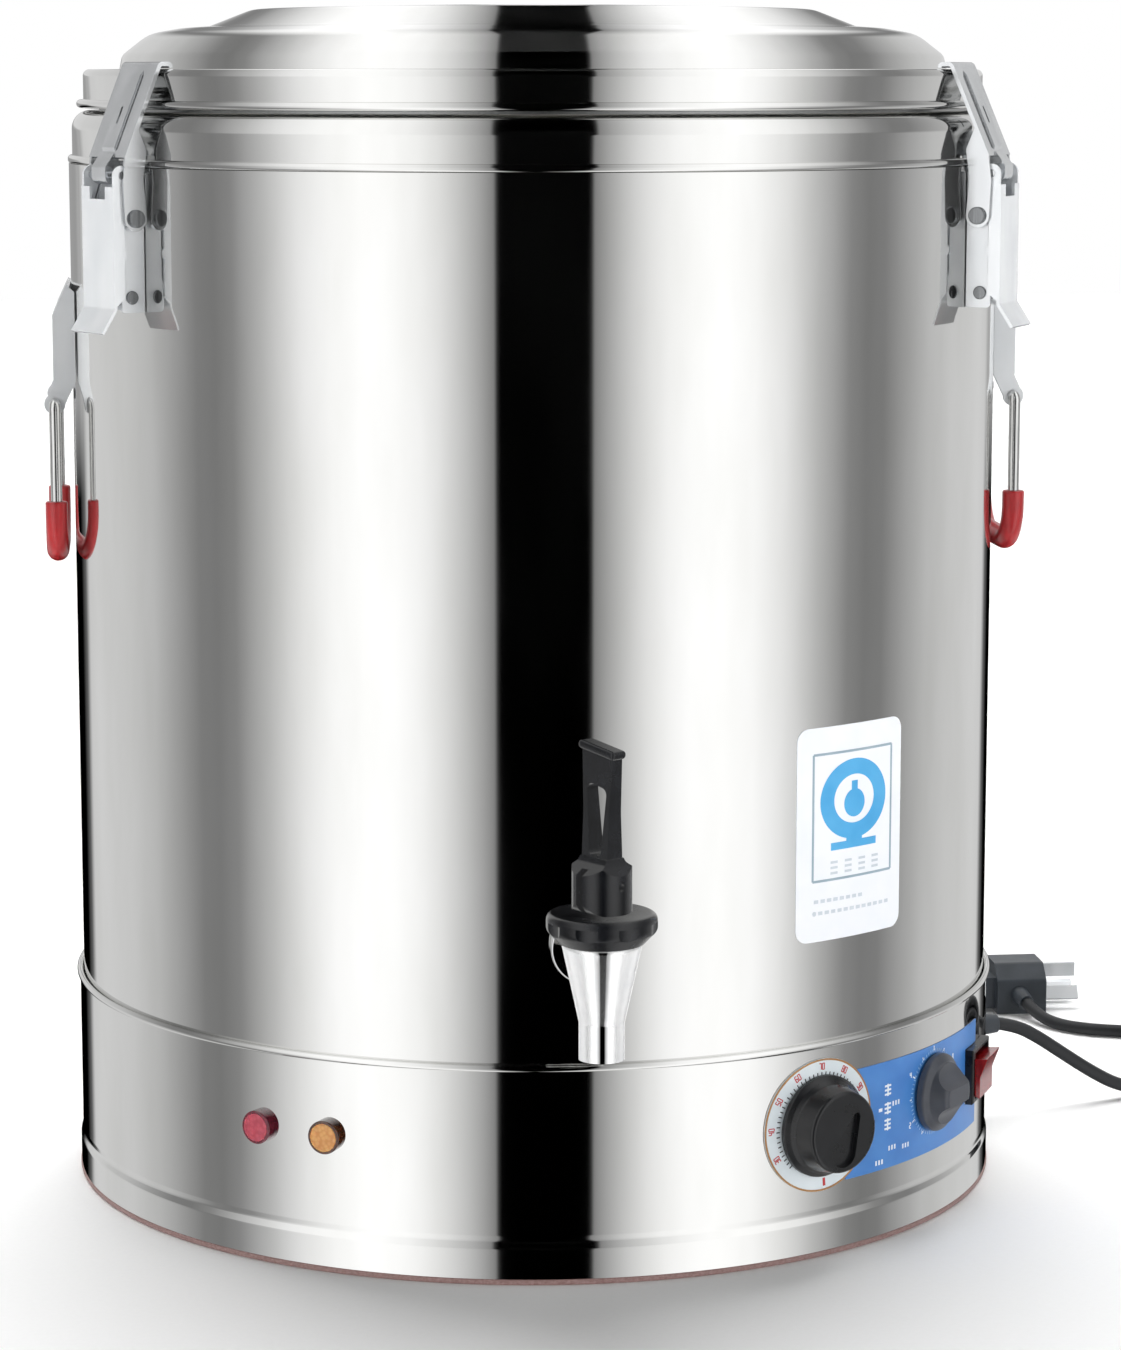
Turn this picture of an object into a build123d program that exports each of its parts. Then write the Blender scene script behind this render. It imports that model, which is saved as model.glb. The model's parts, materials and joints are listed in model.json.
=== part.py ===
from build123d import *
import os
from math import atan2, cos, degrees, hypot, pi, radians, sin, tan

# Hot water urn: a double-walled stainless barrel with a pressed lid held by three toggle latches,
# two bail handles, a lever tap, and a skirt that holds the thermostat, timer, switch and lamps.
# Millimetres. The axis of the barrel is Z, the urn stands on Z = 0, and the tap faces -Y.
# An azimuth is counted from the tap, positive towards +X. "out" is the distance from the axis.

# ---------------------------------------------------------------- driving dimensions
# clearances
run_fit = 0.06        # a pin turning in its hole
side_gap = 0.3        # between pieces that pass each other
seat_gap = 0.3        # between nested curved sheets

# barrel
body_radius = 180.0
shell_wall = 1.0
jacket_gap = 20.0     # from the tank's inside to the body's outside
tank_wall = 1.0
tank_floor = 96.0     # inside bottom of the tank
tank_corner = 10.0
tank_lip = 8.0        # width of the tank's turned-out rim
tank_bend = 1.5       # inside radius where the rim turns out
shell_lap = 10.0      # how far the shell goes down inside the skirt
skirt_top = 80.0
flange_foot = 397.0   # the collar's rolled flange
flange_height = 3.0
flange_proud = 0.3
collar_height = 21.0  # from the flange's foot to the rim
collar_inset = 1.4    # collar outside, in from the body
collar_wall = 1.2
collar_round = 7.0

# skirt and base
skirt_proud = 1.5     # skirt outside, out from the body
skirt_wall = 1.2
skirt_bead = 1.2      # radius of the rolled top edge
plinth_proud = 0.8    # lower roll of the skirt, out from the skirt
plinth_height = 13.5
groove_height = 4.6
foot_height = 2.2
foot_width = 2.6
partition_drop = 1.0  # the partition, down from the skirt's top
partition_rim = 8.0
plate_height = 6.0
plate_wall = 1.2
tab_width = 20.0
tab_length = 16.0
tab_wall = 1.5
tab_azimuths = (20, 110, 200, 290)
screw_radius = 2.0
screw_length = 8.0
screw_head = 3.8
screw_head_height = 2.2
vent_length = 50.0
vent_width = 5.0
vent_ring = 95.0
vent_count = 6

# lid
lid_wall = 1.0
lid_inset = 6.0       # the lid's band, in from the body
lid_gap = 1.5         # from the rim up to the band
band_height = 13.0
lid_bead = 1.6
ledge_width = 14.0
# points of the dome: in from the ledge's inner edge, and up from the ledge
dome_shoulder = (1.1, 5.3)
dome_turn = (11.5, 13.4)
dome_edge = (23.5, 15.5)
crease = (34.5, 16.3)
plateau_edge = (51.0, 22.7)
plateau_flat = (100.0, 23.9)
liner_gap = 4.0       # between the liner and the tank
liner_depth = 10.0    # below the rim
liner_wall = 1.0
gasket_inset = 1.5    # the gasket's inner edge, out from the tank's inside
gasket_height = 2.5

# toggle latches, in the plane through the barrel's axis: a place is (out from the body, up from
# the collar's flange)
latch_azimuths = {"left": -60.5, "right": 60.5, "rear": 180}
arm_pivot_place = (5.0, -18.0)
link_pivot_place = (5.5, -46.5)
crank = (4.5, 15.5)   # from each of these pivots to its hinge on the lever, which stays upright
bracket_half = 10.1
bracket_wall = 1.3
bracket_drop = 52.0   # the bracket's foot, down from the flange
bracket_gap = 2.0     # the bracket's top, down from the flange
bracket_depth = 9.5
lever_wall = 1.2
arm_wall = 1.3
strap_wall = 1.6
strap_foot_place = (9.3, 4.0)
strap_lean = (0.7, 2.2)   # where the strap passes the lid: out from its band, up from its ledge
lip_reach = 5.2       # how far the lip reaches in over the ledge
lip_gap = 0.4         # between the lip and the lid's ledge
leg_round = 4.5
leg_lap = 12.0        # the legs' top, up from the strap's foot
rib_margin = 2.0      # between the rib and the strap's foot
rib_crown_gap = 0.9   # between the rib and the lip
rib_ease = 1.5        # height over which the rib rises
rib_half = 4.5
rib_proud = 0.9
strap_slot = (1.4, 6.0)
strap_slot_rise = 19.0    # up from the flange
tongue_half = 5.0
tongue_eye = 3.4
lever_proud = 13.5    # the lever's face, out from the body
lever_drop = 6.5      # the lever's top, down from the flange
lever_length = 44.0
lever_tab = (5.5, 8.3)    # out and down from the lever's foot
lever_flange = 4.6
pivot_pin_radius = 1.6
link_pin_radius = 1.5
hinge_pin_radius = 1.5
eye_pin_radius = 1.0
eye_wall = 0.9
link_half = 3.0
rivet_head = 3.25
rivet_head_height = 1.2
small_head = 2.5
small_head_height = 0.8

# bail handles
handle_azimuths = {"left": -90, "right": 90}
handle_half = 27.0
handle_wall = 1.5
handle_proud = 7.0    # the bracket's face, out from the body
handle_drop = 45.4    # the bracket's top, down from the flange
handle_slope = 11.6   # height of its sloping top
handle_height = 37.1
bail_proud = 6.6      # the bail's wire, out from the body
bail_pivot_drop = 8.5     # the pivot, down from the bracket's face
bail_length = 57.5    # from the pivot to the middle of the lower wire
bail_radius = 2.2
bail_bend = 2.4
bail_corner = 16.0
bail_end = 4.0        # how far the wire reaches inside its ear
ear_radius = 4.0
grip_radius = 4.25
grip_height = 20.5    # how far the grip reaches up from the lower wire

# tap
tap_reach = 50.0      # the tap's axis, out from the body
spout_foot = 96.0
spout_radius = 8.0
spout_straight = 13.0
spout_bore = 5.5
cup_radius = 14.0
cup_top = 136.5
seat_height = 118.0
chamber_radius = 9.5
thread_radius = 13.0
thread_height = 6.0
shank_height = 125.0
shank_radius = 8.0
shank_bore = 5.0
shank_inside = 10.0   # how far the shank reaches into the tank
shank_hole = 8.3
face_nut_radius = 13.0
face_nut_length = 6.0
washer_radius = 12.0
washer_height = 1.8
lock_nut_radius = 12.5
lock_nut_length = 5.0
bonnet_radius = 19.2
bonnet_height = 10.7
bonnet_taper = 4.8    # height over which the nut narrows to the cup
bonnet_scallops = 8
scallop_radius = 12.0
scallop_depth = 1.1
scallop_margin = 2.6  # left between the scallops and the nut's top
stem_radius = 3.0
stem_washer_radius = 8.0
stem_washer_height = 3.0
stem_eye_half = 1.3
stem_eye_width = 2.7
stem_pivot = 157.5
stem_pin_radius = 1.25
cap_wall = 2.6
handle_turn = -56.0   # the tap lever faces this azimuth about the tap's own axis
cam_radius = 10.4
cam_gap = 0.4
cam_round = 5.0
cam_top = 161.5
neck_height = 167.0
blade_half = 6.6
blade_top_half = 8.2
blade_foot_wall = 6.8
blade_wall = 3.7
blade_top = 204.0
blade_slant = 8.0
window_half = 5.2
window_foot_half = 3.1
window_foot = 167.8
window_top = 191.8
crest_radius = 1.5

# controls
cut_reach = 12.0      # holes through the skirt are cut this far past it
control_height = 50.0
thermostat_azimuth = 29.5
timer_azimuth = 50.5
rocker_azimuth = 64.5
rocker_height = 48.0
lamp_azimuths = {"red": -39.2, "amber": -30.2}
lamp_height = 51.0
dial_radius = 25.0
dial_wall = 0.6
panel_wall = 0.3
panel_edges = (33.5, 65.0)
panel_foot = 27.0
panel_top = 68.0
spindle_radius = 3.0
bush_radius = 5.0
bush_length = 2.2
knob_gap = 0.4        # from the dial to the back of the knobs
bush_room = 0.6       # round and in front of the bush, inside the knobs
thermostat_knob_radius = 19.0
thermostat_knob_depth = 13.0
thermostat_drum_radius = 15.0
timer_knob_radius = 14.8
timer_knob_depth = 10.4
timer_crown_radius = 9.5
grip_half = 2.4       # of the timer's finger bar
grip_hollow = 9.0     # radius of the hollows beside it
bezel_half_width = 13.0
bezel_half_height = 10.75
bezel_wall = 3.2
switch_depth = 22.0
rocker_half_width = 10.4
rocker_half_length = 8.1
rocker_rise = 4.8
rocker_sunk = 1.4     # its axle, behind the bezel's front
rocker_tilt = 10.0
rocker_axle = 1.2
lamp_radius = 6.2
lamp_body_radius = 5.0
lamp_depth = 20.0
lamp_rise = 3.4
lamp_step = 0.5       # the lens, in from the lamp's rim
label_azimuth = 34.4
label_size = (53.0, 79.0)
label_corner = 5.0
label_height = 158.0
label_wall = 0.3
terminal_inset = 41.5     # the terminal block, in from the skirt

# heater
element_ring = 85.0
element_radius = 4.25
element_height = 114.0
element_foot = 83.0
element_nut = 10.0
element_nut_height = 7.0
bulb_radius = 3.0
bulb_length = 80.0
capillary_radius = 0.8

# cord: points are chosen by hand, in the order they are passed from the gland to the plug. Each is
# (X, Y) from the gland's tip, and a height: of the lead, a share of the gland's height above the
# lying cord, and of the tail, millimetres above the lying cord
cord_radius = 2.7
gland_azimuth = 100.0
gland_height = 37.5
gland_reach = 20.0
lying_gap = 0.1
lead_places = [
    (0, 0, 1), (8.36, 1.51, 0.954), (17.96, 3.21, 0.804), (29.86, 6.31, 0.562),
    (42.86, 10.01, 0.303), (55.56, 13.01, 0.089), (69.06, 16.61, 0.006), (85.56, 21.81, 0),
    (103.06, 27.31, 0), (121.06, 33.51, 0.012),
]
tail_places = [
    (123.06, 91.51, 0.4), (103.56, 102.01, 0), (85.56, 115.51, 0), (69.06, 121.51, 0),
    (57.56, 132.51, 0), (52.06, 145.01, 1.4), (49.56, 156.51, 4.2),
]
coil_place = (113.86, 61.81)
coil_mean_radius = 31.0
coil_width = 16.4
coil_height = 15.0
plug_step = (-19.0, 7.5)  # from the tail's end to the plug's low corner
plug_size = (30.0, 34.0, 22.5)
plug_taper = 7.0
plug_sleeve = 4.6
pin_length = 17.0
pin_width = 6.3
pin_wall = 2.0


# ---------------------------------------------------------------- shared shapes
def unit(a, b):
    """The direction from point a to point b, and their distance."""
    length = hypot(b[0] - a[0], b[1] - a[1])
    return ((b[0] - a[0]) / length, (b[1] - a[1]) / length), length


def outline(corners):
    """A closed flat face. A corner is (x, y), or (x, y, radius) where an arc rounds it."""
    tangents = []
    arcs = []
    for i, corner in enumerate(corners):
        radius = corner[2] if len(corner) > 2 else 0
        point = corner[:2]
        if not radius:
            tangents.append((point, point))
            continue
        u, _ = unit(point, corners[i - 1])
        v, _ = unit(point, corners[(i + 1) % len(corners)])
        middle = hypot(u[0] + v[0], u[1] + v[1])
        half = atan2(hypot(u[0] - v[0], u[1] - v[1]), middle)
        reach = radius / tan(half)
        first = (point[0] + u[0] * reach, point[1] + u[1] * reach)
        last = (point[0] + v[0] * reach, point[1] + v[1] * reach)
        depth = (radius / sin(half) - radius) / middle
        crown = (point[0] + (u[0] + v[0]) * depth, point[1] + (u[1] + v[1]) * depth)
        tangents.append((first, last))
        arcs.append(ThreePointArc(first, crown, last))
    lines = []
    for i, (_, start) in enumerate(tangents):
        end = tangents[(i + 1) % len(tangents)][0]
        if unit_length(start, end) > 1e-6:
            lines.append(Line(start, end))
    return make_face([edge for line in lines + arcs for edge in line.edges()])


def unit_length(a, b):
    return hypot(b[0] - a[0], b[1] - a[1])


def beside(path, distance):
    """The path moved sideways to its left, with mitred corners and radii to match."""
    moved = []
    for i, corner in enumerate(path):
        before = unit(path[i - 1], corner)[0] if i else None
        after = unit(corner, path[i + 1])[0] if i + 1 < len(path) else None
        a = before or after
        b = after or before
        scale = distance / (1 + a[0] * b[0] + a[1] * b[1])
        point = (corner[0] - (a[1] + b[1]) * scale, corner[1] + (a[0] + b[0]) * scale)
        if len(corner) > 2:
            left_turn = a[0] * b[1] - a[1] * b[0] > 0
            radius = corner[2] - distance if left_turn else corner[2] + distance
            point = (*point, max(radius, 0))
        moved.append(point)
    return moved


def bent_sheet(path, wall):
    """The closed corners of a bent sheet that lies to the left of the path."""
    return list(path) + beside(path, wall)[::-1]


def turned(corners):
    """A solid of revolution about the barrel's axis, from corners (out, height)."""
    return revolve(Plane.XZ * outline(corners), Axis.Z)


def ring(inner, outer, low, high):
    return turned([(inner, low), (outer, low), (outer, high), (inner, high)])


def slab(corners, left, right):
    """Corners (out, height) drawn in the plane through the axis and the tap, extruded sideways."""
    face = outline([(-corner[0], *corner[1:]) for corner in corners])
    return Plane.YZ.offset(left) * extrude(face, amount=right - left, dir=(0, 0, 1))


def slabs(corners, inner, outer):
    """The same slab on both sides."""
    return slab(corners, inner, outer) + slab(corners, -outer, -inner)


def cross_bar(point, radius, left, right):
    """A round bar across the plane of a latch or handle, at (out, height)."""
    bar = Cylinder(radius, right - left, align=(Align.CENTER, Align.CENTER, Align.MIN))
    return Pos(left, -point[0], point[1]) * Rot(0, 90, 0) * bar


def cross_bars(point, radius, inner, outer):
    return cross_bar(point, radius, inner, outer) + cross_bar(point, radius, -outer, -inner)


def turn_to(azimuth, shape):
    """Carries a shape made at the tap's azimuth round to its own azimuth."""
    return Rot(0, 0, azimuth) * shape


def facing(azimuth, out, height):
    """A plane square to the barrel's radius: x to the right seen from outside, y up."""
    a = radians(azimuth)
    return Plane(
        origin=(out * sin(a), -out * cos(a), height),
        x_dir=(cos(a), sin(a), 0),
        z_dir=(sin(a), -cos(a), 0),
    )


def peg(azimuth, height, radius, start, end):
    """A round bar along the barrel's radius, between two distances from the axis."""
    bar = Cylinder(radius, end - start, align=(Align.CENTER, Align.CENTER, Align.MIN))
    return facing(azimuth, start, height) * bar


def block(azimuth, height, half_width, half_height, start, end):
    size = (2 * half_width, 2 * half_height, end - start)
    return facing(azimuth, start, height) * Box(*size, align=(Align.CENTER, Align.CENTER, Align.MIN))


def wrapped(azimuth, height, face, inner, outer):
    """A thin plate that follows the barrel between two radii, with its outline seen square on."""
    prism = facing(azimuth, inner / 2, height) * extrude(face, amount=outer, dir=(0, 0, 1))
    return prism & ring(inner, outer, 0, rim_height)


def column(x, y, radius, low, high):
    bar = Cylinder(radius, high - low, align=(Align.CENTER, Align.CENTER, Align.MIN))
    return Pos(x, y, low) * bar


def tube_along(points, radius, bends):
    """A round bar of straight runs joined by tangent arcs."""
    path = FilletPolyline(*points, radius=bends)
    profile = Plane(path @ 0, z_dir=path % 0) * Circle(radius)
    return sweep(profile, path=path), path


# ---------------------------------------------------------------- barrel
tank_radius = body_radius - jacket_gap
rim_height = flange_foot + collar_height
shell_foot = skirt_top - shell_lap
partition_height = skirt_top - partition_drop
tap_out = body_radius + tap_reach
skirt_radius = body_radius + skirt_proud
skirt_inside = skirt_radius - skirt_wall
plinth_inside = skirt_inside + plinth_proud
collar_foot = flange_foot + flange_height
collar_radius = body_radius - collar_inset
collar_top = rim_height - tank_wall
shell_inside = body_radius - shell_wall
tank_outside = tank_radius + tank_wall
jacket_radius = shell_inside - seat_gap
through_skirt = (skirt_inside - cut_reach, skirt_radius + cut_reach)
tap_bore = turn_to(0, peg(0, shank_height, shank_hole, tank_radius - 5, skirt_radius + 5))


def outer_shell():
    return ring(shell_inside, body_radius, shell_foot, flange_foot) - tap_bore


def rim_collar():
    path = [
        (collar_radius, flange_foot), (collar_radius, collar_top, collar_round),
        (tank_outside + tank_bend, collar_top),
    ]
    flange = ring(
        collar_radius - collar_wall, body_radius + flange_proud, flange_foot, collar_foot
    )
    return turned(bent_sheet(path, collar_wall)) + flange


def inner_tank():
    path = [
        (0, tank_floor), (tank_radius, tank_floor, tank_corner), (tank_radius, rim_height, tank_bend + tank_wall),
        (tank_radius + tank_lip, rim_height),
    ]
    tank = turned(bent_sheet(path, -tank_wall)) - tap_bore
    for x in element_legs():
        tank -= column(*x, element_radius + seat_gap, tank_floor - 5, tank_floor + 5)
    return tank


def foam_jacket():
    inside = tank_outside + seat_gap
    top = collar_top - collar_wall - seat_gap
    neck = collar_radius - collar_wall - seat_gap
    foam = turned([
        (0, partition_height + seat_gap), (jacket_radius, partition_height + seat_gap),
        (jacket_radius, flange_foot - seat_gap), (neck, flange_foot - seat_gap),
        (neck, top, collar_round - collar_wall), (inside, top),
        (inside, tank_floor - tank_wall - seat_gap, tank_corner), (0, tank_floor - tank_wall - seat_gap),
    ])
    foam -= tap_bore
    for x, y in element_legs():
        foam -= column(x, y, element_nut + 3, partition_height - 5, tank_floor)
    x, y = bulb_centre()
    foam -= Pos(x, y, bulb_height()) * Box(bulb_length + 8, 4 * bulb_radius, 5 * bulb_radius)
    x, y = capillary_drop()
    return foam - column(x, y, 4, partition_height, bulb_height())


def partition_plate():
    path = [
        (jacket_radius, partition_height - partition_rim), (jacket_radius, partition_height, 3),
        (0, partition_height),
    ]
    plate = turned(bent_sheet(path, shell_wall))
    for x, y in element_legs():
        plate -= column(x, y, element_nut + 3, partition_height - 5, partition_height + 5)
    x, y = capillary_drop()
    return plate - column(x, y, 4, partition_height - 5, partition_height + 5)


# ---------------------------------------------------------------- skirt and base
def base_skirt():
    low = skirt_radius + plinth_proud
    path = [
        (low, foot_height), (low, plinth_height, 2),
        (skirt_radius - plinth_proud / 3, plinth_height + groove_height / 2, 2),
        (skirt_radius, plinth_height + groove_height, 2), (skirt_radius, skirt_top),
    ]
    skirt = turned(bent_sheet(path, skirt_wall))
    skirt += Pos(0, 0, skirt_top - 0.1) * Torus(skirt_inside + skirt_bead, skirt_bead)
    for azimuth in tab_azimuths:
        skirt += turn_to(azimuth, tab())
    for azimuth in (thermostat_azimuth, timer_azimuth):
        skirt -= peg(azimuth, control_height, bush_radius + seat_gap, *through_skirt)
    for azimuth in lamp_azimuths.values():
        skirt -= peg(azimuth, lamp_height, lamp_body_radius + seat_gap, *through_skirt)
    skirt -= block(
        rocker_azimuth, rocker_height, switch_half_width + seat_gap, switch_half_height + seat_gap,
        *through_skirt,
    )
    return skirt - peg(gland_azimuth, gland_height, gland_body + seat_gap, *through_skirt)


def tab():
    """A foot inside the skirt that a base screw goes up into."""
    low = plate_height + plate_wall
    reach = plinth_inside + 0.4
    foot = slab(
        [(reach - tab_length, low), (reach, low), (reach, low + tab_wall), (reach - tab_length, low + tab_wall)],
        -tab_width / 2, tab_width / 2,
    )
    return foot - column(0, -screw_out, screw_radius + 0.1, low - 1, low + 10)


screw_out = skirt_inside - tab_length / 2


def base_plate():
    radius = plinth_inside - seat_gap
    plate = column(0, 0, radius, plate_height, plate_height + plate_wall)
    for azimuth in tab_azimuths:
        plate -= turn_to(azimuth, column(0, -screw_out, screw_radius + 0.1, 0, 20))
    vent = SlotOverall(vent_length, vent_width)
    for i in range(vent_count):
        slot = extrude(Pos(0, -vent_ring) * vent, amount=20, dir=(0, 0, 1))
        plate -= turn_to(360 * (i + 0.5) / vent_count, slot)
    return plate


def base_screws():
    screws = []
    for azimuth in tab_azimuths:
        shank = column(0, -screw_out, screw_radius, plate_height, plate_height + screw_length)
        head = column(0, -screw_out, screw_head, plate_height - screw_head_height, plate_height)
        socket = column(0, -screw_out, screw_radius, 0, plate_height - screw_head_height / 2)
        screws.append(turn_to(azimuth, shank + head - socket))
    return Compound(screws)


def foot_ring():
    outside = skirt_radius + plinth_proud + 0.3
    return ring(outside - foot_width, outside, 0, foot_height)


# ---------------------------------------------------------------- lid
lid_band_radius = body_radius - lid_inset
lid_band_foot = rim_height + lid_gap
ledge_height = lid_band_foot + band_height
dome_foot_radius = lid_band_radius - ledge_width
liner_radius = tank_radius - liner_gap
liner_foot = rim_height - liner_depth
gasket_inner = tank_radius + gasket_inset
gasket_outer = tank_radius + tank_lip


def on_dome(place, *bend):
    return (dome_foot_radius - place[0], ledge_height + place[1], *bend)


lid_path = [
    (lid_band_radius, lid_band_foot), (lid_band_radius, ledge_height, 2.5),
    (dome_foot_radius, ledge_height, 0.8), on_dome(dome_shoulder, 4), on_dome(dome_turn, 16),
    on_dome(dome_edge, 20), on_dome(crease, 3), on_dome(plateau_edge, 12), on_dome(plateau_flat),
    (0, ledge_height + plateau_flat[1]),
]
liner_ledge = rim_height + gasket_height
liner_path = [
    (0, liner_foot), (liner_radius, liner_foot, 4), (liner_radius, liner_ledge, 2),
    (lid_band_radius - lid_wall - seat_gap, liner_ledge),
]


def lid_cover():
    bead = Pos(0, 0, lid_band_foot) * Torus(lid_band_radius + lid_bead - lid_wall / 2, lid_bead)
    return turned(bent_sheet(lid_path, lid_wall)) + bead


def lid_liner():
    return turned(bent_sheet(liner_path, liner_wall))


def lid_foam():
    above = beside(lid_path, lid_wall + seat_gap)
    below = beside(liner_path, liner_wall + seat_gap)
    rim = (above[0][0], below[-1][1])
    return turned(below[:-1] + [rim] + above[1:])


def lid_gasket():
    return ring(gasket_inner, gasket_outer, rim_height, rim_height + gasket_height)


# ---------------------------------------------------------------- latches
lever_half = bracket_half + side_gap + lever_wall
arm_half = lever_half + side_gap + arm_wall
lip_foot = ledge_height + lip_gap
lip_end = lid_band_radius - lip_reach
bracket_foot = flange_foot - bracket_drop
bracket_top = flange_foot - bracket_gap
lever_face = body_radius + lever_proud
lever_top = flange_foot - lever_drop
lever_foot = lever_top - lever_length
strap_slot_height = flange_foot + strap_slot_rise


def at_latch(place):
    return (body_radius + place[0], flange_foot + place[1])


arm_pivot = at_latch(arm_pivot_place)
link_pivot = at_latch(link_pivot_place)
lever_hinge = (arm_pivot[0] + crank[0], arm_pivot[1] + crank[1])
link_eye = (link_pivot[0] + crank[0], link_pivot[1] + crank[1])
strap_foot = at_latch(strap_foot_place)
strap_top = (lid_band_radius + strap_lean[0], ledge_height + strap_lean[1])


def strap_at(height):
    """The strap's outer face at a height."""
    share = (height - strap_foot[1]) / (strap_top[1] - strap_foot[1])
    return strap_foot[0] + (strap_top[0] - strap_foot[0]) * share


def latch_bracket():
    out, top = body_radius + 0.05, bracket_top
    front = body_radius + bracket_depth
    web = slab(
        [(out, bracket_foot), (out + bracket_wall, bracket_foot), (out + bracket_wall, top), (out, top)],
        -bracket_half, bracket_half,
    )
    waist = link_eye[0] - eye_pin_radius - 2 * side_gap
    lobe = link_pivot[1] + 4
    ears = slabs(
        [
            (out, bracket_foot), (front, bracket_foot, 1.5), (front, lobe, 1.5),
            (waist, lobe + 3, 2), (waist, top - 9, 4), (front - 4.5, top, 2), (out, top),
        ],
        bracket_half - bracket_wall, bracket_half,
    )
    return (
        web + ears
        - cross_bar(arm_pivot, pivot_pin_radius, -bracket_half, bracket_half)
        - cross_bar(link_pivot, link_pin_radius, -bracket_half, bracket_half)
    )


def latch_rivets():
    """The arm's pivot rivet and the link's pivot rivet of one latch."""
    upper = cross_bar(arm_pivot, pivot_pin_radius, -arm_half - 0.2, arm_half + 0.2)
    upper += cross_bars(arm_pivot, rivet_head, arm_half + 0.2, arm_half + 0.2 + rivet_head_height)
    lower = cross_bar(link_pivot, link_pin_radius, -bracket_half, bracket_half)
    lower += cross_bars(link_pivot, small_head, bracket_half, bracket_half + small_head_height)
    return [upper, lower]


def latch_arm():
    lip_top = lip_foot + strap_wall + 0.6
    path = [
        strap_foot, (strap_at(lip_top), lip_top, 2.2), (lip_end, lip_top, 1.7), (lip_end, lip_foot),
    ]
    strap = slab(bent_sheet(path, strap_wall), -arm_half, arm_half)
    low, high = strap_foot[1] + rib_margin, lip_foot - rib_crown_gap
    rib = slab(
        [
            (strap_at(low), low), (strap_at(low + rib_ease) + rib_proud, low + rib_ease),
            (strap_at(high - rib_ease) + rib_proud, high - rib_ease), (strap_at(high), high),
            (strap_at(high) - 1, high), (strap_at(low) - 1, low),
        ],
        -rib_half, rib_half,
    )
    out, height = arm_pivot
    rise = strap_foot[1] - height
    leg_top = strap_foot[1] + leg_lap
    leg = [
        (strap_at(leg_top), leg_top), (strap_at(height + rise * 1.05), height + rise * 1.05, 2),
        (out + leg_round + 0.6, height + rise * 0.6, 8),
        (out + leg_round, height), (out - leg_round, height),
        (out - leg_round + 1.2, height + rise * 0.64, 8),
        (strap_at(leg_top) - leg_lap / 3, height + rise * 1.1, 4),
    ]
    legs = slabs(leg, arm_half - arm_wall, arm_half)
    legs += cross_bars(arm_pivot, leg_round, arm_half - arm_wall, arm_half)
    hinge, level = lever_hinge
    foot = strap_at(strap_foot[1])
    tongue = slab(
        [
            (foot - 1.5, strap_foot[1] + 1.5), (foot - 0.2, strap_foot[1] + 1.5),
            (hinge + tongue_eye, level + 3), (hinge + tongue_eye, level),
            (hinge - tongue_eye, level), (hinge - tongue_eye + 0.5, level + 4),
        ],
        -tongue_half, tongue_half,
    )
    tongue += cross_bar(lever_hinge, tongue_eye, -tongue_half, tongue_half)
    width, length = strap_slot
    slot = Pos(0, -strap_at(strap_slot_height), strap_slot_height) * Box(width, 12, length)
    arm = strap + rib + legs + tongue - slot
    arm -= cross_bar(arm_pivot, pivot_pin_radius + run_fit, -arm_half, arm_half)
    arm -= cross_bar(lever_hinge, hinge_pin_radius, -tongue_half, tongue_half)
    pin = cross_bar(lever_hinge, hinge_pin_radius, -lever_half, lever_half)
    return Compound([arm.solid(), pin])


def latch_lever():
    path = [
        (lever_face + lever_tab[0], lever_foot - lever_tab[1]), (lever_face, lever_foot, 2),
        (lever_face, lever_top),
    ]
    plate = slab(bent_sheet(path, lever_wall), -lever_half, lever_half)
    hinge, level = lever_hinge
    back = lever_face - lever_flange
    flange = [
        (lever_face - 0.4, lever_foot + 0.5), (lever_face - 0.4, level - 2), (hinge + 3.6, level),
        (hinge - 3.6, level), (back, lever_top - 6), (back, lever_foot + 4),
    ]
    inner = lever_half - lever_wall
    lever = plate + slabs(flange, inner, lever_half)
    lever += cross_bars(lever_hinge, 3.6, inner, lever_half)
    lever += cross_bars(link_eye, 2.2, inner, lever_half)
    lever += cross_bar(link_eye, eye_pin_radius, -lever_half, lever_half)
    notch = tongue_half + side_gap + 0.4
    lever -= Pos(0, -lever_face, lever_top) * Box(2 * notch, 12, 9)
    return lever - cross_bar(lever_hinge, hinge_pin_radius + run_fit, -lever_half, lever_half)


def latch_link():
    (x0, z0), (x1, z1) = link_pivot, link_eye
    (ux, uz), _ = unit(link_pivot, link_eye)
    half = 1.5
    bar = slab(
        [
            (x0 - uz * half, z0 + ux * half), (x0 + uz * half, z0 - ux * half),
            (x1 + uz * half, z1 - ux * half), (x1 - uz * half, z1 + ux * half),
        ],
        -link_half, link_half,
    )
    bar += cross_bar(link_pivot, 3.4, -link_half, link_half)
    bar += cross_bar(link_eye, eye_pin_radius + eye_wall, -link_half, link_half)
    bar -= cross_bar(link_eye, eye_pin_radius + run_fit, -link_half, link_half)
    return bar - cross_bar(link_pivot, link_pin_radius + run_fit, -link_half, link_half)


# ---------------------------------------------------------------- handles
handle_face = body_radius + handle_proud
handle_top = flange_foot - handle_drop
handle_shoulder = handle_top - handle_slope
handle_foot = handle_top - handle_height
bail_out = body_radius + bail_proud
bail_pivot = handle_foot - bail_pivot_drop
bail_foot = bail_pivot - bail_length
grip_top = bail_foot + grip_height


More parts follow.
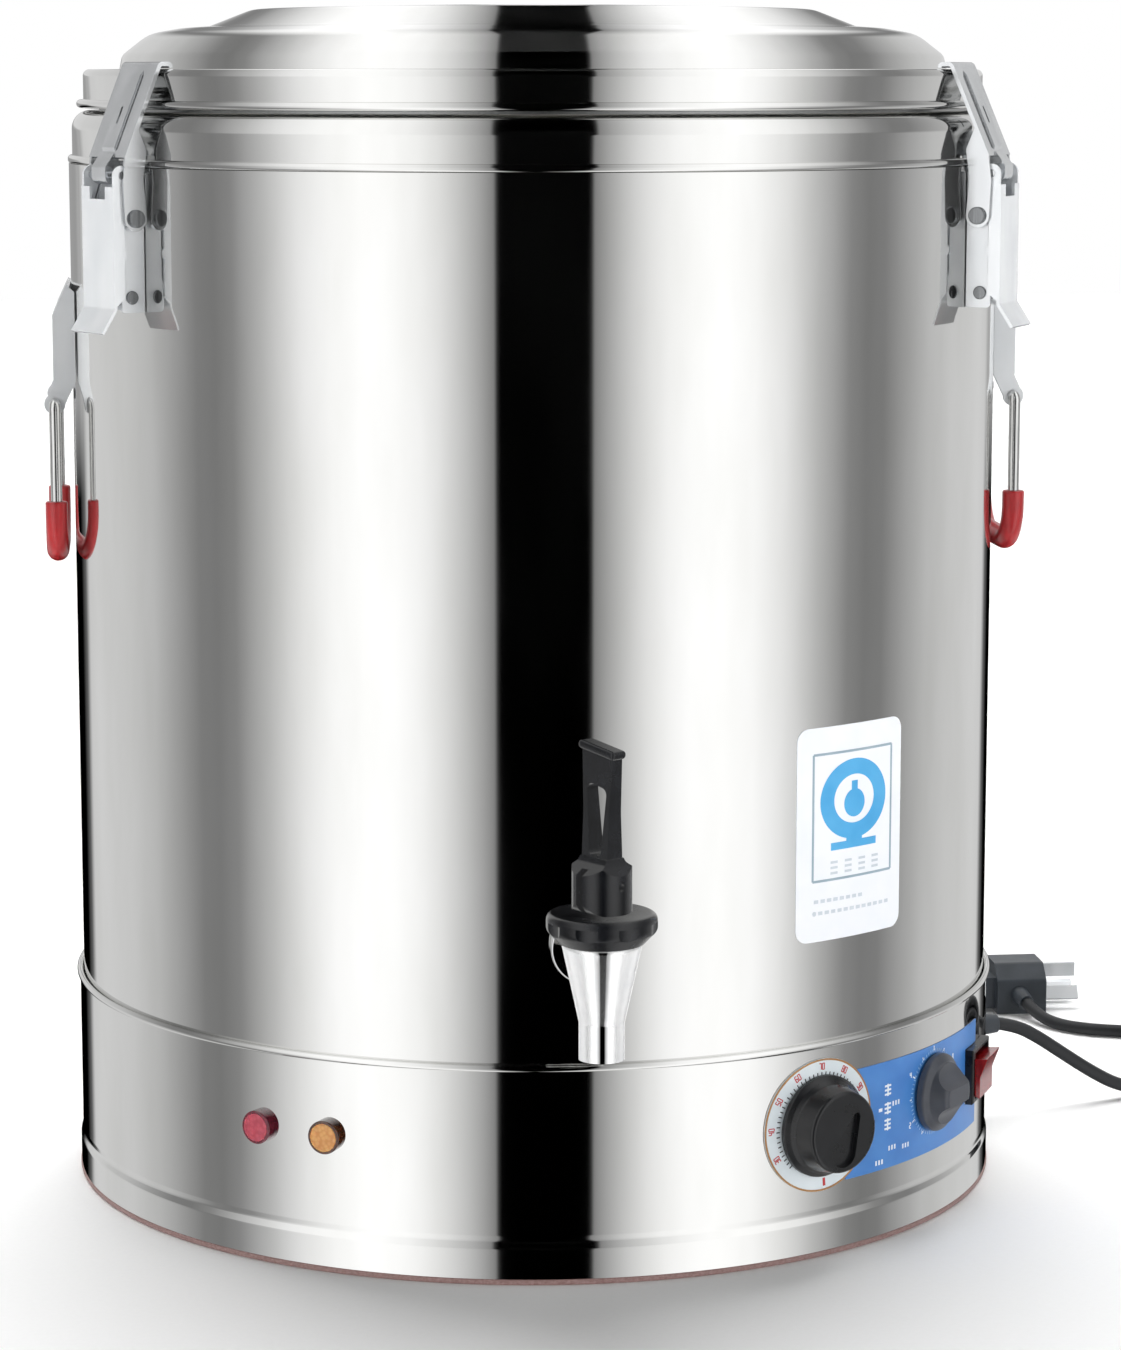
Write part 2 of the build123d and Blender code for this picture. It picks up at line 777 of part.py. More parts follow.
def handle_bracket():
    rise = [
        (handle_face, handle_foot), (handle_face, handle_shoulder, 3),
        (body_radius + 1.6, handle_top),
    ]
    face = slab(bent_sheet(rise, handle_wall), -handle_half, handle_half)
    back = (body_radius**2 - (handle_half - handle_wall) ** 2) ** 0.5 + seat_gap
    wall = [
        (back, handle_top - 3), (body_radius + 1.4, handle_top - 0.3),
        (handle_face - 0.3, handle_shoulder), (handle_face - 0.3, handle_foot, 4),
        (bail_out + ear_radius, bail_pivot), (bail_out - ear_radius, bail_pivot),
        (back, handle_foot),
    ]
    walls = slabs(wall, handle_half - handle_wall, handle_half)
    pivot = (bail_out, bail_pivot)
    walls += cross_bars(pivot, ear_radius, handle_half - handle_wall, handle_half)
    return face + walls - cross_bar(pivot, bail_radius + run_fit, -handle_half, handle_half)


bail_half = handle_half + side_gap + bail_bend


def bail_points(top, inside=None):
    points = [(-bail_half, -bail_out, top), (-bail_half, -bail_out, bail_foot)]
    if inside is not None:
        points.insert(0, (-inside, -bail_out, top))
    return points + [(-x, y, z) for x, y, z in points[::-1]]


def handle_bail():
    inside = handle_half - handle_wall - bail_end
    bends = [bail_bend, bail_corner, bail_corner, bail_bend]
    return tube_along(bail_points(bail_pivot, inside), bail_radius, bends)[0]


def handle_grip():
    bends = [bail_corner, bail_corner]
    points = bail_points(grip_top)
    return tube_along(points, grip_radius, bends)[0] - tube_along(points, bail_radius, bends)[0]


# ---------------------------------------------------------------- tap
def tap_column(radius, low, high):
    return column(0, -tap_out, radius, low, high)


def about_tap(corners):
    """A solid of revolution about the tap's upright axis."""
    return Pos(0, -tap_out, 0) * revolve(Plane.XZ * outline(corners), Axis.Z)


def tap_body():
    cone_foot = spout_foot + spout_straight
    body = about_tap([
        (0, spout_foot), (spout_radius, spout_foot), (spout_radius, cone_foot, 4),
        (cup_radius, cup_top, 1), (thread_radius, cup_top),
        (thread_radius, cup_top + thread_height), (0, cup_top + thread_height),
    ])
    shank_end = tank_radius - shank_inside
    body += peg(0, shank_height, shank_radius, shank_end, tap_out - 6)
    body -= tap_column(spout_bore, spout_foot - 1, seat_height + 1)
    body -= tap_column(chamber_radius, seat_height, cup_top + thread_height + 1)
    return body - peg(0, shank_height, shank_bore, shank_end - 1, tap_out - 4)


def tap_bonnet_nut():
    low = cup_top + side_gap
    high = low + bonnet_height
    nut = about_tap([
        (0, low), (cup_radius + 0.6, low, 1), (bonnet_radius, low + bonnet_taper, 3),
        (bonnet_radius, high, 2.5), (0, high),
    ])
    for i in range(bonnet_scallops):
        angle = radians(360 * (i + 0.5) / bonnet_scallops)
        reach = bonnet_radius - scallop_depth + scallop_radius
        nut -= Pos(reach * cos(angle), reach * sin(angle) - tap_out, low) * Cylinder(
            scallop_radius, bonnet_height - scallop_margin, align=(Align.CENTER, Align.CENTER, Align.MIN)
        )
    nut -= tap_column(thread_radius + 0.1, low, low + thread_height)
    nut -= tap_column(chamber_radius, low, high - cap_wall)
    return nut - tap_column(stem_radius + side_gap, low, high + 1)


def hexagon_nut(radius, bore, start, end):
    nut = facing(0, start, shank_height) * extrude(
        RegularPolygon(radius, 6), amount=end - start, dir=(0, 0, 1)
    )
    return nut - peg(0, shank_height, bore, start, end)


def tap_face_nut():
    start = body_radius + washer_height
    nut = peg(0, shank_height, face_nut_radius, start, start + face_nut_length)
    return nut - peg(0, shank_height, shank_radius, start, start + face_nut_length)


tank_seat = (tank_radius**2 - washer_radius**2) ** 0.5


def tap_washers():
    outer = peg(0, shank_height, washer_radius, body_radius, body_radius + washer_height)
    inner = peg(0, shank_height, washer_radius, tank_seat - washer_height, tank_seat)
    bore = peg(0, shank_height, shank_radius, tank_seat - 5, body_radius + 5)
    return Compound([outer - bore, inner - bore])


def tap_lock_nut():
    end = tank_seat - washer_height
    return hexagon_nut(lock_nut_radius, shank_radius, end - lock_nut_length, end)


def in_handle_frame(shape):
    """Carries a shape made about the origin, facing -Y, onto the tap's axis and turns it."""
    return Pos(0, -tap_out, 0) * Rot(0, 0, handle_turn) * shape


def tap_stem():
    washer_top = seat_height + side_gap + stem_washer_height
    shoulder = stem_pivot - cam_radius - 2
    rod = column(0, 0, stem_radius, washer_top, shoulder)
    top = stem_pivot + stem_radius
    eye = Pos(0, 0, shoulder) * Box(
        2 * stem_eye_half, 2 * stem_eye_width, top - shoulder, align=(Align.CENTER, Align.CENTER, Align.MIN)
    )
    hole = Pos(-10, 0, stem_pivot) * Rot(0, 90, 0) * Cylinder(
        stem_pin_radius, 20, align=(Align.CENTER, Align.CENTER, Align.MIN)
    )
    return in_handle_frame(rod + eye - hole)


def tap_stem_pin():
    half = cam_radius - 1.4
    pin = Pos(-half, 0, stem_pivot) * Rot(0, 90, 0) * Cylinder(
        stem_pin_radius, 2 * half, align=(Align.CENTER, Align.CENTER, Align.MIN)
    )
    return in_handle_frame(pin)


def tap_seat_washer():
    low = seat_height + side_gap
    washer = column(0, 0, stem_washer_radius, low, low + stem_washer_height)
    return in_handle_frame(washer)


def tap_lever():
    """Cam foot, sloping shoulders and an upright blade with a window. It faces -Y here."""
    foot = cup_top + side_gap + bonnet_height + cam_gap
    cam = column(0, 0, cam_radius, foot, neck_height)
    front = cam_radius - cam_round
    nose = outline([
        (-cam_radius - 1, foot - 1), (-front, foot - 1), (-front, foot),
        (-cam_radius, foot, cam_round), (-cam_radius, foot + cam_round),
        (-cam_radius - 1, foot + cam_round),
    ])
    cam -= extrude(Plane.YZ.offset(-20) * nose, amount=40, dir=(1, 0, 0))
    shoulder = outline([
        (-cam_radius - 1, neck_height + 1), (-cam_radius - 1, cam_top), (-cam_radius, cam_top),
        (-blade_foot_wall / 2 - 1.2, neck_height - 1.5, 3), (-blade_foot_wall / 2, neck_height + 1),
    ])
    cut = extrude(Plane.YZ.offset(-20) * shoulder, amount=40, dir=(1, 0, 0))
    cam -= cut
    cam -= mirror(cut, Plane.XZ)
    side = outline([
        (-cam_radius - 1, neck_height + 1), (-cam_radius - 1, cam_top), (-cam_radius, cam_top),
        (-blade_half - 0.6, neck_height - 2, 4), (-blade_half, neck_height + 1),
    ])
    flank = extrude(Plane.XZ.offset(-20) * side, amount=40, dir=(0, -1, 0))
    cam -= flank
    cam -= mirror(flank, Plane.YZ)
    slope = tan(radians(blade_slant)) * blade_top_half
    waist = (cam_top + blade_top) / 2
    blade = extrude(Plane.XZ.offset(-blade_foot_wall) * outline([
        (-blade_half, cam_top), (blade_half, cam_top), (blade_half, waist, 30),
        (blade_top_half, blade_top - slope), (-blade_top_half, blade_top + slope),
        (-blade_half, waist, 30),
    ]), amount=2 * blade_foot_wall, dir=(0, -1, 0))
    blade &= extrude(Plane.YZ.offset(-20) * outline([
        (-blade_foot_wall / 2, cam_top), (blade_foot_wall / 2, cam_top),
        (blade_foot_wall / 2, window_foot), (blade_wall / 2, blade_top),
        (blade_wall / 2, blade_top + 5), (-blade_wall / 2, blade_top + 5),
        (-blade_wall / 2, blade_top), (-blade_foot_wall / 2, window_foot),
    ]), amount=40, dir=(1, 0, 0))
    window = extrude(Plane.XZ.offset(-20) * outline([
        (-window_foot_half, window_foot, 1.5), (window_foot_half, window_foot, 1.5),
        (window_half, window_top - 1, 2.5), (-window_half, window_top + 1, 2.5),
    ]), amount=40, dir=(0, -1, 0))
    crest_box = Box(2 * blade_top_half + 2, blade_wall + 2 * crest_radius, 2 * crest_radius)
    crest = Pos(0, 0, blade_top) * Rot(0, blade_slant, 0) * fillet(
        crest_box.edges(), crest_radius * 0.9
    )
    slot_top = stem_pivot + 6
    slot = Pos(0, 0, (foot + slot_top) / 2) * Box(
        2 * (stem_eye_half + side_gap), 40, slot_top - foot + 0.02
    )
    lever = cam + blade + crest - window - slot
    hole = Pos(-20, 0, stem_pivot) * Rot(0, 90, 0) * Cylinder(
        stem_pin_radius + run_fit, 40, align=(Align.CENTER, Align.CENTER, Align.MIN)
    )
    return in_handle_frame(lever - hole)


# ---------------------------------------------------------------- heater and controls
def element_legs():
    """Where the heating element's two ends go through the tank floor."""
    gap = radians(15)
    return [(element_ring * sin(s * gap), element_ring * cos(s * gap)) for s in (-1, 1)]


def heating_element():
    start, end = element_legs()
    loop = revolve(
        Plane.XZ * Pos(element_ring, element_height) * Circle(element_radius), Axis.Z, 330
    )
    element = Rot(0, 0, 105) * loop
    for x, y in (start, end):
        element += Pos(x, y, element_height) * Sphere(element_radius)
        element += column(x, y, element_radius, element_foot, element_height)
    return element


def element_nuts():
    nuts = []
    for x, y in element_legs():
        low = tank_floor - tank_wall - element_nut_height
        nut = Pos(x, y, low) * extrude(RegularPolygon(element_nut, 6), amount=element_nut_height)
        washer = column(x, y, element_nut, tank_floor, tank_floor + 2)
        hole = column(x, y, element_radius, low, tank_floor + 2)
        nuts += [nut - hole, washer - hole]
    return Compound(nuts)


def bulb_centre():
    return (40.0, -60.0)


def bulb_height():
    return tank_floor - tank_wall - bulb_radius - 0.1


def capillary_drop():
    x, y = bulb_centre()
    return (x + bulb_length / 2 - 6, y)


def thermostat_bulb():
    x, y = bulb_centre()
    bulb = Pos(x - bulb_length / 2, y, bulb_height()) * Rot(0, 90, 0) * Cylinder(
        bulb_radius, bulb_length, align=(Align.CENTER, Align.CENTER, Align.MIN)
    )
    a = radians(thermostat_azimuth)
    end = housing_front - housing_depth
    target = (end * sin(a), -end * cos(a), control_height + 8)
    dx, dy = capillary_drop()
    inward = (target[0] - 20 * sin(a), target[1] + 20 * cos(a), target[2])
    points = [(dx, dy, bulb_height()), (dx, dy, target[2]), inward, target]
    capillary = tube_along(points, capillary_radius, [8, 8])[0]
    return bulb + capillary


housing_front = (skirt_inside**2 - 17**2) ** 0.5 - seat_gap
housing_depth = 24.0
timer_housing_radius = 19.0
timer_housing_front = (skirt_inside**2 - timer_housing_radius**2) ** 0.5 - seat_gap


def spindle_bush(azimuth, front):
    """The threaded bush of a control, through the skirt, and its bore for the spindle."""
    bush = peg(azimuth, control_height, bush_radius, front - 1, skirt_radius + bush_length)
    bore = peg(azimuth, control_height, spindle_radius + run_fit, front - 12, skirt_radius + 5)
    return bush, bore


def thermostat_housing():
    body = block(thermostat_azimuth, control_height, 17, 13, housing_front - housing_depth, housing_front)
    bush, bore = spindle_bush(thermostat_azimuth, housing_front)
    return body + bush - bore


def timer_housing():
    body = peg(timer_azimuth, control_height, timer_housing_radius, timer_housing_front - 32, timer_housing_front)
    bush, bore = spindle_bush(timer_azimuth, timer_housing_front)
    return body + bush - bore


knob_back = skirt_radius + dial_wall + knob_gap


def spindle(azimuth, front, knob_depth):
    return peg(azimuth, control_height, spindle_radius, front - 11.5, knob_back + knob_depth - 4)


def bush_recess(azimuth):
    depth = skirt_radius + bush_length + bush_room
    return peg(azimuth, control_height, bush_radius + bush_room, knob_back - 1, depth)


def thermostat_knob():
    """A flared skirt, a tapered drum and a drop-shaped thumb hollow low on its front."""
    r, d, drum = thermostat_knob_radius, thermostat_knob_depth, thermostat_drum_radius
    body = revolve(Plane.XZ * outline([
        (0, 0), (r, 0), (r, 1.6, 0.8), (r - 1.6, 3.2, 1.5), (drum + 1.2, 4.8, 2), (drum, d, 1.6), (0, d),
    ]), Axis.Z)
    hollow = make_hull((Pos(0, -5) * Circle(5.5) + Pos(0, 9) * Circle(1.6)).edges())
    body -= Pos(2, -3, d - 2) * Rot(0, 0, -25) * extrude(hollow, amount=5, dir=(0, 0, 1))
    body = facing(thermostat_azimuth, knob_back, control_height) * body
    body -= bush_recess(thermostat_azimuth)
    return body - peg(thermostat_azimuth, control_height, spindle_radius, knob_back, knob_back + d - 4)


def timer_knob():
    """A flat skirt and a domed crown, hollowed above and below to leave a finger bar across it."""
    r, d = timer_knob_radius, timer_knob_depth
    skirt_depth = 3.6
    body = revolve(Plane.XZ * outline([
        (0, 0), (r, 0), (r, skirt_depth - 1, 1.2), (r - 2.6, skirt_depth + 0.6, 1),
        (timer_crown_radius, d, 3), (0, d),
    ]), Axis.Z)
    for side in (-1, 1):
        hollow = Rot(0, 90, 0) * Cylinder(grip_hollow, 4 * r)
        body -= Pos(0, side * (grip_half + grip_hollow), skirt_depth + 1.6 + grip_hollow) * hollow
    body = facing(timer_azimuth, knob_back, control_height) * body
    body -= bush_recess(timer_azimuth)
    return body - peg(timer_azimuth, control_height, spindle_radius, knob_back, knob_back + d - 4)


def control_panel():
    """The blue plate round the timer, cut out for the dial and the switch."""
    centre = sum(panel_edges) / 2
    half = skirt_radius * sin(radians(panel_edges[1] - panel_edges[0]) / 2)
    middle = (panel_foot + panel_top) / 2
    face = Rectangle(2 * half, panel_top - panel_foot)
    panel = wrapped(centre, middle, face, skirt_radius, skirt_radius + panel_wall)
    panel -= peg(thermostat_azimuth, control_height, dial_radius + side_gap, *through_skirt)
    panel -= peg(timer_azimuth, control_height, bush_radius + side_gap, *through_skirt)
    return panel - block(
        rocker_azimuth, rocker_height, bezel_half_width + side_gap, bezel_half_height + side_gap,
        *through_skirt,
    )


def dial_plate():
    plate = wrapped(
        thermostat_azimuth, control_height, Circle(dial_radius), skirt_radius, skirt_radius + dial_wall
    )
    return plate - peg(thermostat_azimuth, control_height, bush_radius + side_gap, *through_skirt)


switch_half_width = rocker_half_width + side_gap + 0.9
switch_half_height = bezel_half_height - 0.9


def rocker_bezel():
    frame = block(
        rocker_azimuth, rocker_height, bezel_half_width, bezel_half_height,
        skirt_radius, skirt_radius + bezel_wall,
    )
    frame = fillet(frame.faces().sort_by(facing_axis(rocker_azimuth))[-1].edges(), 0.8)
    frame += block(
        rocker_azimuth, rocker_height, switch_half_width, switch_half_height,
        skirt_radius - switch_depth, skirt_radius + 0.5,
    )
    frame -= block(
        rocker_azimuth, rocker_height, rocker_half_width + side_gap, bezel_half_height - 1.6,
        skirt_radius + bezel_wall - 7, skirt_radius + bezel_wall + 3,
    )
    return frame - rocker_bar(rocker_axle + run_fit, switch_half_width - 0.3)


def facing_axis(azimuth):
    a = radians(azimuth)
    return Axis((0, 0, 0), (sin(a), -cos(a), 0))


rocker_pivot = skirt_radius + bezel_wall - rocker_sunk


def rocker_bar(radius, half):
    bar = cross_bar((rocker_pivot, rocker_height), radius, -half, half)
    return turn_to(rocker_azimuth, bar)


def rocker():
    """Two flats that meet in a shallow V. At rest its lower half is pressed in."""
    length, rise = rocker_half_length, rocker_rise
    tilt = radians(rocker_tilt)
    corners = [(-3, -length + 2), (rise, -length), (rise - 1.4, 0), (rise, length), (-3, length - 2)]
    tilted = [
        (
            rocker_pivot + u * cos(tilt) + v * sin(tilt),
            rocker_height + v * cos(tilt) - u * sin(tilt),
        )
        for u, v in corners
    ]
    body = turn_to(rocker_azimuth, slab(tilted, -rocker_half_width, rocker_half_width))
    return body + rocker_bar(rocker_axle, switch_half_width - 0.4)


def lamp(azimuth):
    """A pilot lamp: bezel, domed lens and the body behind the skirt."""
    lens = facing(azimuth, skirt_radius, lamp_height) * revolve(Plane.XZ * outline([
        (0, 0), (lamp_radius, 0), (lamp_radius, 1.2, 0.3), (lamp_radius - lamp_step, 1.4),
        (lamp_radius - lamp_step, lamp_rise, 0.6), (0, lamp_rise + 0.3),
    ]), Axis.Z)
    return lens + peg(azimuth, lamp_height, lamp_body_radius, skirt_radius - lamp_depth, skirt_radius)


def label_plate():
    face = RectangleRounded(*label_size, label_corner)
    return wrapped(label_azimuth, label_height, face, body_radius, body_radius + label_wall)


def terminal_block():
    block_height = 16.0
    top = partition_height - shell_wall
    size = (44, 22, block_height)
    out = skirt_radius - terminal_inset
    body = turn_to(85, Pos(0, -out, top - block_height / 2) * Box(*size))
    for i in range(3):
        body -= turn_to(85, Pos(14 * (i - 1), -out, top - block_height - 1) * Cylinder(2.5, 12))
    return body


# ---------------------------------------------------------------- cord
gland_body = 5.9
gland_tip = facing(gland_azimuth, skirt_radius + gland_reach, gland_height).origin
lying = cord_radius + lying_gap


def from_gland(place):
    return (gland_tip.X + place[0], gland_tip.Y + place[1])


lead_points = [(*from_gland(p), lying + (gland_height - lying) * p[2]) for p in lead_places]
tail_points = [(*from_gland(p), lying + p[2]) for p in tail_places]
coil_centre = from_gland(coil_place)
plug_low = (tail_points[-1][0] + plug_step[0], tail_points[-1][1] + plug_step[1], 0)


def strain_relief():
    """The cord gland: a flange outside, a tapered sleeve, and a body through the skirt."""
    tip = gland_reach
    sleeve = revolve(Plane.XZ * outline([
        (0, -6), (gland_body + 2.5, -6), (gland_body + 2.5, -2.5), (gland_body, -2.5), (gland_body, 0),
        (gland_body + 1.8, 0), (gland_body + 1.8, 3, 1), (gland_body - 0.4, 3.6, 1),
        (cord_radius + 1.1, tip), (0, tip),
    ]), Axis.Z)
    return facing(gland_azimuth, skirt_radius, gland_height) * sleeve


def bend_radii(points):
    """0.45 of the shorter run, divided by the tangent of half the turn, at each inner point."""
    radii = []
    for a, b, c in zip(points, points[1:], points[2:]):
        before, after = Vector(*b) - Vector(*a), Vector(*c) - Vector(*b)
        half_turn = radians(before.get_angle(after)) / 2
        radii.append(0.45 * min(before.length, after.length) / tan(half_turn))
    return radii


def cord_run(name, points):
    radii = bend_radii(points)
    tube, path = tube_along(points, cord_radius, radii)
    share = tube.volume / (pi * cord_radius**2 * path.length)
    print(name, "bends", [round(r) for r in radii], "length", round(path.length, 1), "volume", round(share, 4))
    return tube, path.length


def cord_coil():
    half = coil_width / 2
    turns = revolve(Plane.XZ * outline([
        (coil_mean_radius - half, 0, 3), (coil_mean_radius + half, 0, 3),
        (coil_mean_radius + half, coil_height, 5), (coil_mean_radius - half, coil_height, 5),
    ]), Axis.Z)
    return Pos(*coil_centre, 0) * turns


def plug():
    """A three-pin plug lying on its side, its pins towards +X and its cord entering from -Y."""
    x, y, z = plug_low
    length, width, height = plug_size
    face = Plane.YZ * outline([
        (y, z), (y + width, z), (y + width, z + height - 7, 3), (y + width - 8, z + height, 3),
        (y + 8, z + height, 3), (y, z + height - 7, 3),
    ])
    front = Pos(x + plug_taper, 0, 0) * extrude(face, amount=length - plug_taper, dir=(1, 0, 0))
    back = Pos(x + plug_taper / 2, y + width / 2, z + height / 2 - 2) * Box(plug_taper, width - 8, height - 8)
    body = front + back
    end, before = Vector(*tail_points[-1]), Vector(*tail_points[-2])
    way = (end - before).normalized()
    sleeve = Plane(end, z_dir=way) * Cone(
        cord_radius + 0.9, plug_sleeve, 14, align=(Align.CENTER, Align.CENTER, Align.MIN)
    )
    body += sleeve
    middle = (y + width / 2, z + height / 2)
    for dy, dz, turn in ((0, 5.5, 90), (-7, -4, 60), (7, -4, 120)):
        pin = Box(pin_length + 2, pin_width, pin_wall, align=(Align.MIN, Align.CENTER, Align.CENTER))
        pin = Pos(x + length - 2, middle[0] + dy, middle[1] + dz) * Rot(turn, 0, 0) * pin
        body += pin
    return body


# ---------------------------------------------------------------- the whole urn
def build():
    pieces = {
        "outer_shell": outer_shell(),
        "rim_collar": rim_collar(),
        "inner_tank": inner_tank(),
        "foam_jacket": foam_jacket(),
        "partition_plate": partition_plate(),
        "base_skirt": base_skirt(),
        "base_plate": base_plate(),
        "base_screws": base_screws(),
        "foot_ring": foot_ring(),
        "lid_cover": lid_cover(),
        "lid_liner": lid_liner(),
        "lid_foam": lid_foam(),
        "lid_gasket": lid_gasket(),
        "latch_brackets": Compound([turn_to(a, latch_bracket()) for a in latch_azimuths.values()]),
        "latch_rivets": Compound(
            [turn_to(a, rivet) for a in latch_azimuths.values() for rivet in latch_rivets()]
        ),
        "handle_brackets": Compound([turn_to(a, handle_bracket()) for a in handle_azimuths.values()]),
        "tap_body": tap_body(),
        "tap_bonnet_nut": tap_bonnet_nut(),
        "tap_face_nut": tap_face_nut(),
        "tap_washers": tap_washers(),
        "tap_lock_nut": tap_lock_nut(),
        "tap_stem": tap_stem(),
        "tap_stem_pin": tap_stem_pin(),
        "tap_seat_washer": tap_seat_washer(),
        "tap_lever": tap_lever(),
        "heating_element": heating_element(),
        "element_nuts": element_nuts(),
        "thermostat_bulb": thermostat_bulb(),
        "thermostat_housing": thermostat_housing(),
        "thermostat_spindle": spindle(thermostat_azimuth, housing_front, thermostat_knob_depth),
        "thermostat_knob": thermostat_knob(),
        "timer_housing": timer_housing(),
        "timer_spindle": spindle(timer_azimuth, timer_housing_front, timer_knob_depth),
        "timer_knob": timer_knob(),
        "control_panel": control_panel(),
        "dial_plate": dial_plate(),
        "rocker_bezel": rocker_bezel(),
        "rocker": rocker(),
        "label_plate": label_plate(),
        "terminal_block": terminal_block(),
        "strain_relief": strain_relief(),
        "cord_lead": cord_run("cord_lead", lead_points)[0],
        "cord_tail": cord_run("cord_tail", tail_points)[0],
        "cord_coil": cord_coil(),
        "plug": plug(),
    }
    for name, azimuth in lamp_azimuths.items():
        pieces[f"{name}_lamp"] = lamp(azimuth)
    for name, azimuth in latch_azimuths.items():
        pieces[f"latch_{name}_arm"] = turn_to(azimuth, latch_arm())
        pieces[f"latch_{name}_lever"] = turn_to(azimuth, latch_lever())
        pieces[f"latch_{name}_link"] = turn_to(azimuth, latch_link())
    for name, azimuth in handle_azimuths.items():
        pieces[f"handle_{name}_bail"] = turn_to(azimuth, handle_bail())
        pieces[f"handle_{name}_grip"] = turn_to(azimuth, handle_grip())
    return pieces


if __name__ == "__main__":
    os.makedirs("parts", exist_ok=True)
    for node, shape in build().items():
        export_step(shape, f"parts/{node}.step")
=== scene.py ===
import json
from math import atan2, cos, hypot, pi, radians, sin, tan

import bmesh
import bpy
from mathutils import Matrix, Vector


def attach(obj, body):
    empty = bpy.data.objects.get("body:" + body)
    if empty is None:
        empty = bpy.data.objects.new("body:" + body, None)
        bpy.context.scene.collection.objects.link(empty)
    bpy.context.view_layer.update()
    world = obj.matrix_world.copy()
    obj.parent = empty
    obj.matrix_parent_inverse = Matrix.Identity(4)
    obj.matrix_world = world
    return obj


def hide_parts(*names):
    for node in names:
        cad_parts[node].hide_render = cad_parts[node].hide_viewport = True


# Hot water urn: mirror-polished stainless barrel and lid, toggle latches, bail handles, a plated
# tap with black fittings, and a skirt with its dials, switch and lamps. Sizes are in millimetres
# unless a name says otherwise, and meshes are made in metres. An azimuth is counted from the tap
# towards +X.

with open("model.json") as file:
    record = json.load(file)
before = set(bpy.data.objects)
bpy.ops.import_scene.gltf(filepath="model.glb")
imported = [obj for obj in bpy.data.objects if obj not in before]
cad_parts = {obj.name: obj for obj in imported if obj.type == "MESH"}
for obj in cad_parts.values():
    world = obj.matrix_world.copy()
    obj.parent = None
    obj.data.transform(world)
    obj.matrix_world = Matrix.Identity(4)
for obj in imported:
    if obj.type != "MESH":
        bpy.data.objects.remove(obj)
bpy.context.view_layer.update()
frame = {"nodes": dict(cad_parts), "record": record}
MM = 0.001

# ---------------------------------------------------------------- sizes shared with the solids
body_radius = 180.0
shell_wall = 1.0
shell_foot = 70.0
flange_foot = 397.0
flange_height = 3.0
flange_proud = 0.3
collar_radius = 178.6
collar_top = 417.0
collar_round = 7.0
collar_wall = 1.2
mouth_radius = 162.5
skirt_radius = 181.5
skirt_wall = 1.2
skirt_top = 80.0
skirt_bead = 1.2
foot_height = 2.2
foot_width = 2.6
lid_band_radius = 174.0
lid_band_foot = 419.5
lid_wall = 1.0
lid_bead = 1.6
ledge_height = 432.5
control_height = 50.0
thermostat_azimuth = 29.5
timer_azimuth = 50.5
dial_radius = 25.0
dial_wall = 0.6
panel_wall = 0.3
label_azimuth = 34.4
label_height = 158.0
label_wall = 0.3
lamp_azimuths = {"red": -39.2, "amber": -30.2}
lamp_height = 51.0
lamp_radius = 6.2
lamp_rise = 3.4
latch_sides = ("left", "right", "rear")
handle_sides = ("left", "right")
cord_diameter = 5.4


# ---------------------------------------------------------------- materials
def srgb(code):
    """An sRGB hex value as a linear colour."""
    values = [int(code[i : i + 2], 16) / 255 for i in (1, 3, 5)]
    return (*[v / 12.92 if v <= 0.04045 else ((v + 0.055) / 1.055) ** 2.4 for v in values], 1)


def add(tree, kind, sockets=None, stops=(), **settings):
    """One node with its settings and its ramp's stops, and its sockets set or linked."""
    node = tree.nodes.new(kind)
    for name, value in settings.items():
        setattr(node, name, value)
    for name, value in (sockets or {}).items():
        if isinstance(value, bpy.types.NodeSocket):
            tree.links.new(value, node.inputs[name])
        else:
            node.inputs[name].default_value = value
    if stops:
        ramp = node.color_ramp.elements
        while len(ramp) < len(stops):
            ramp.new(0.5)
        for element, (position, colour) in zip(ramp, stops):
            element.position = position
            element.color = colour
    return node


def surface(name, **sockets):
    """A material with one Principled shader; its sockets are named with underscores for spaces."""
    material = bpy.data.materials.new(name)
    material.use_nodes = True
    tree = material.node_tree
    shader = tree.nodes["Principled BSDF"]
    for socket, value in sockets.items():
        shader.inputs[socket.replace("_", " ")].default_value = value
    return material, tree, shader


def grain(tree, size_mm, texture="Noise", detail=4.0, stretch=(1, 1, 1)):
    """A texture in object space whose features are about size_mm across."""
    place = add(tree, "ShaderNodeTexCoord")
    scaled = add(tree, "ShaderNodeMapping", {"Vector": place.outputs["Object"], "Scale": stretch})
    return add(
        tree, "ShaderNodeTex" + texture,
        {"Vector": scaled.outputs["Vector"], "Scale": 1 / (size_mm * MM), "Detail": detail},
    ).outputs[0]


pattern_low, pattern_high = 0.3, 0.7    # the part of a pattern's range that holds most of it


def vary(tree, shader, pattern, colours, roughness, dents=None):
    """A pattern that runs between two colours and two roughnesses. Dents are what raises the
    surface: a pattern, its depth in mm and how strongly it shows."""
    colour = add(
        tree, "ShaderNodeValToRGB", {"Fac": pattern},
        [(pattern_low, srgb(colours[0])), (pattern_high, srgb(colours[1]))],
    )
    tree.links.new(colour.outputs["Color"], shader.inputs["Base Color"])
    sheen = add(
        tree, "ShaderNodeMapRange",
        {
            "Value": pattern, "From Min": pattern_low, "From Max": pattern_high,
            "To Min": roughness[0], "To Max": roughness[1],
        },
    )
    tree.links.new(sheen.outputs["Result"], shader.inputs["Roughness"])
    if dents:
        height, depth_mm, strength = dents
        relief = add(
            tree, "ShaderNodeBump",
            {"Height": height, "Distance": depth_mm * MM, "Strength": strength},
        )
        tree.links.new(relief.outputs["Normal"], shader.inputs["Normal"])


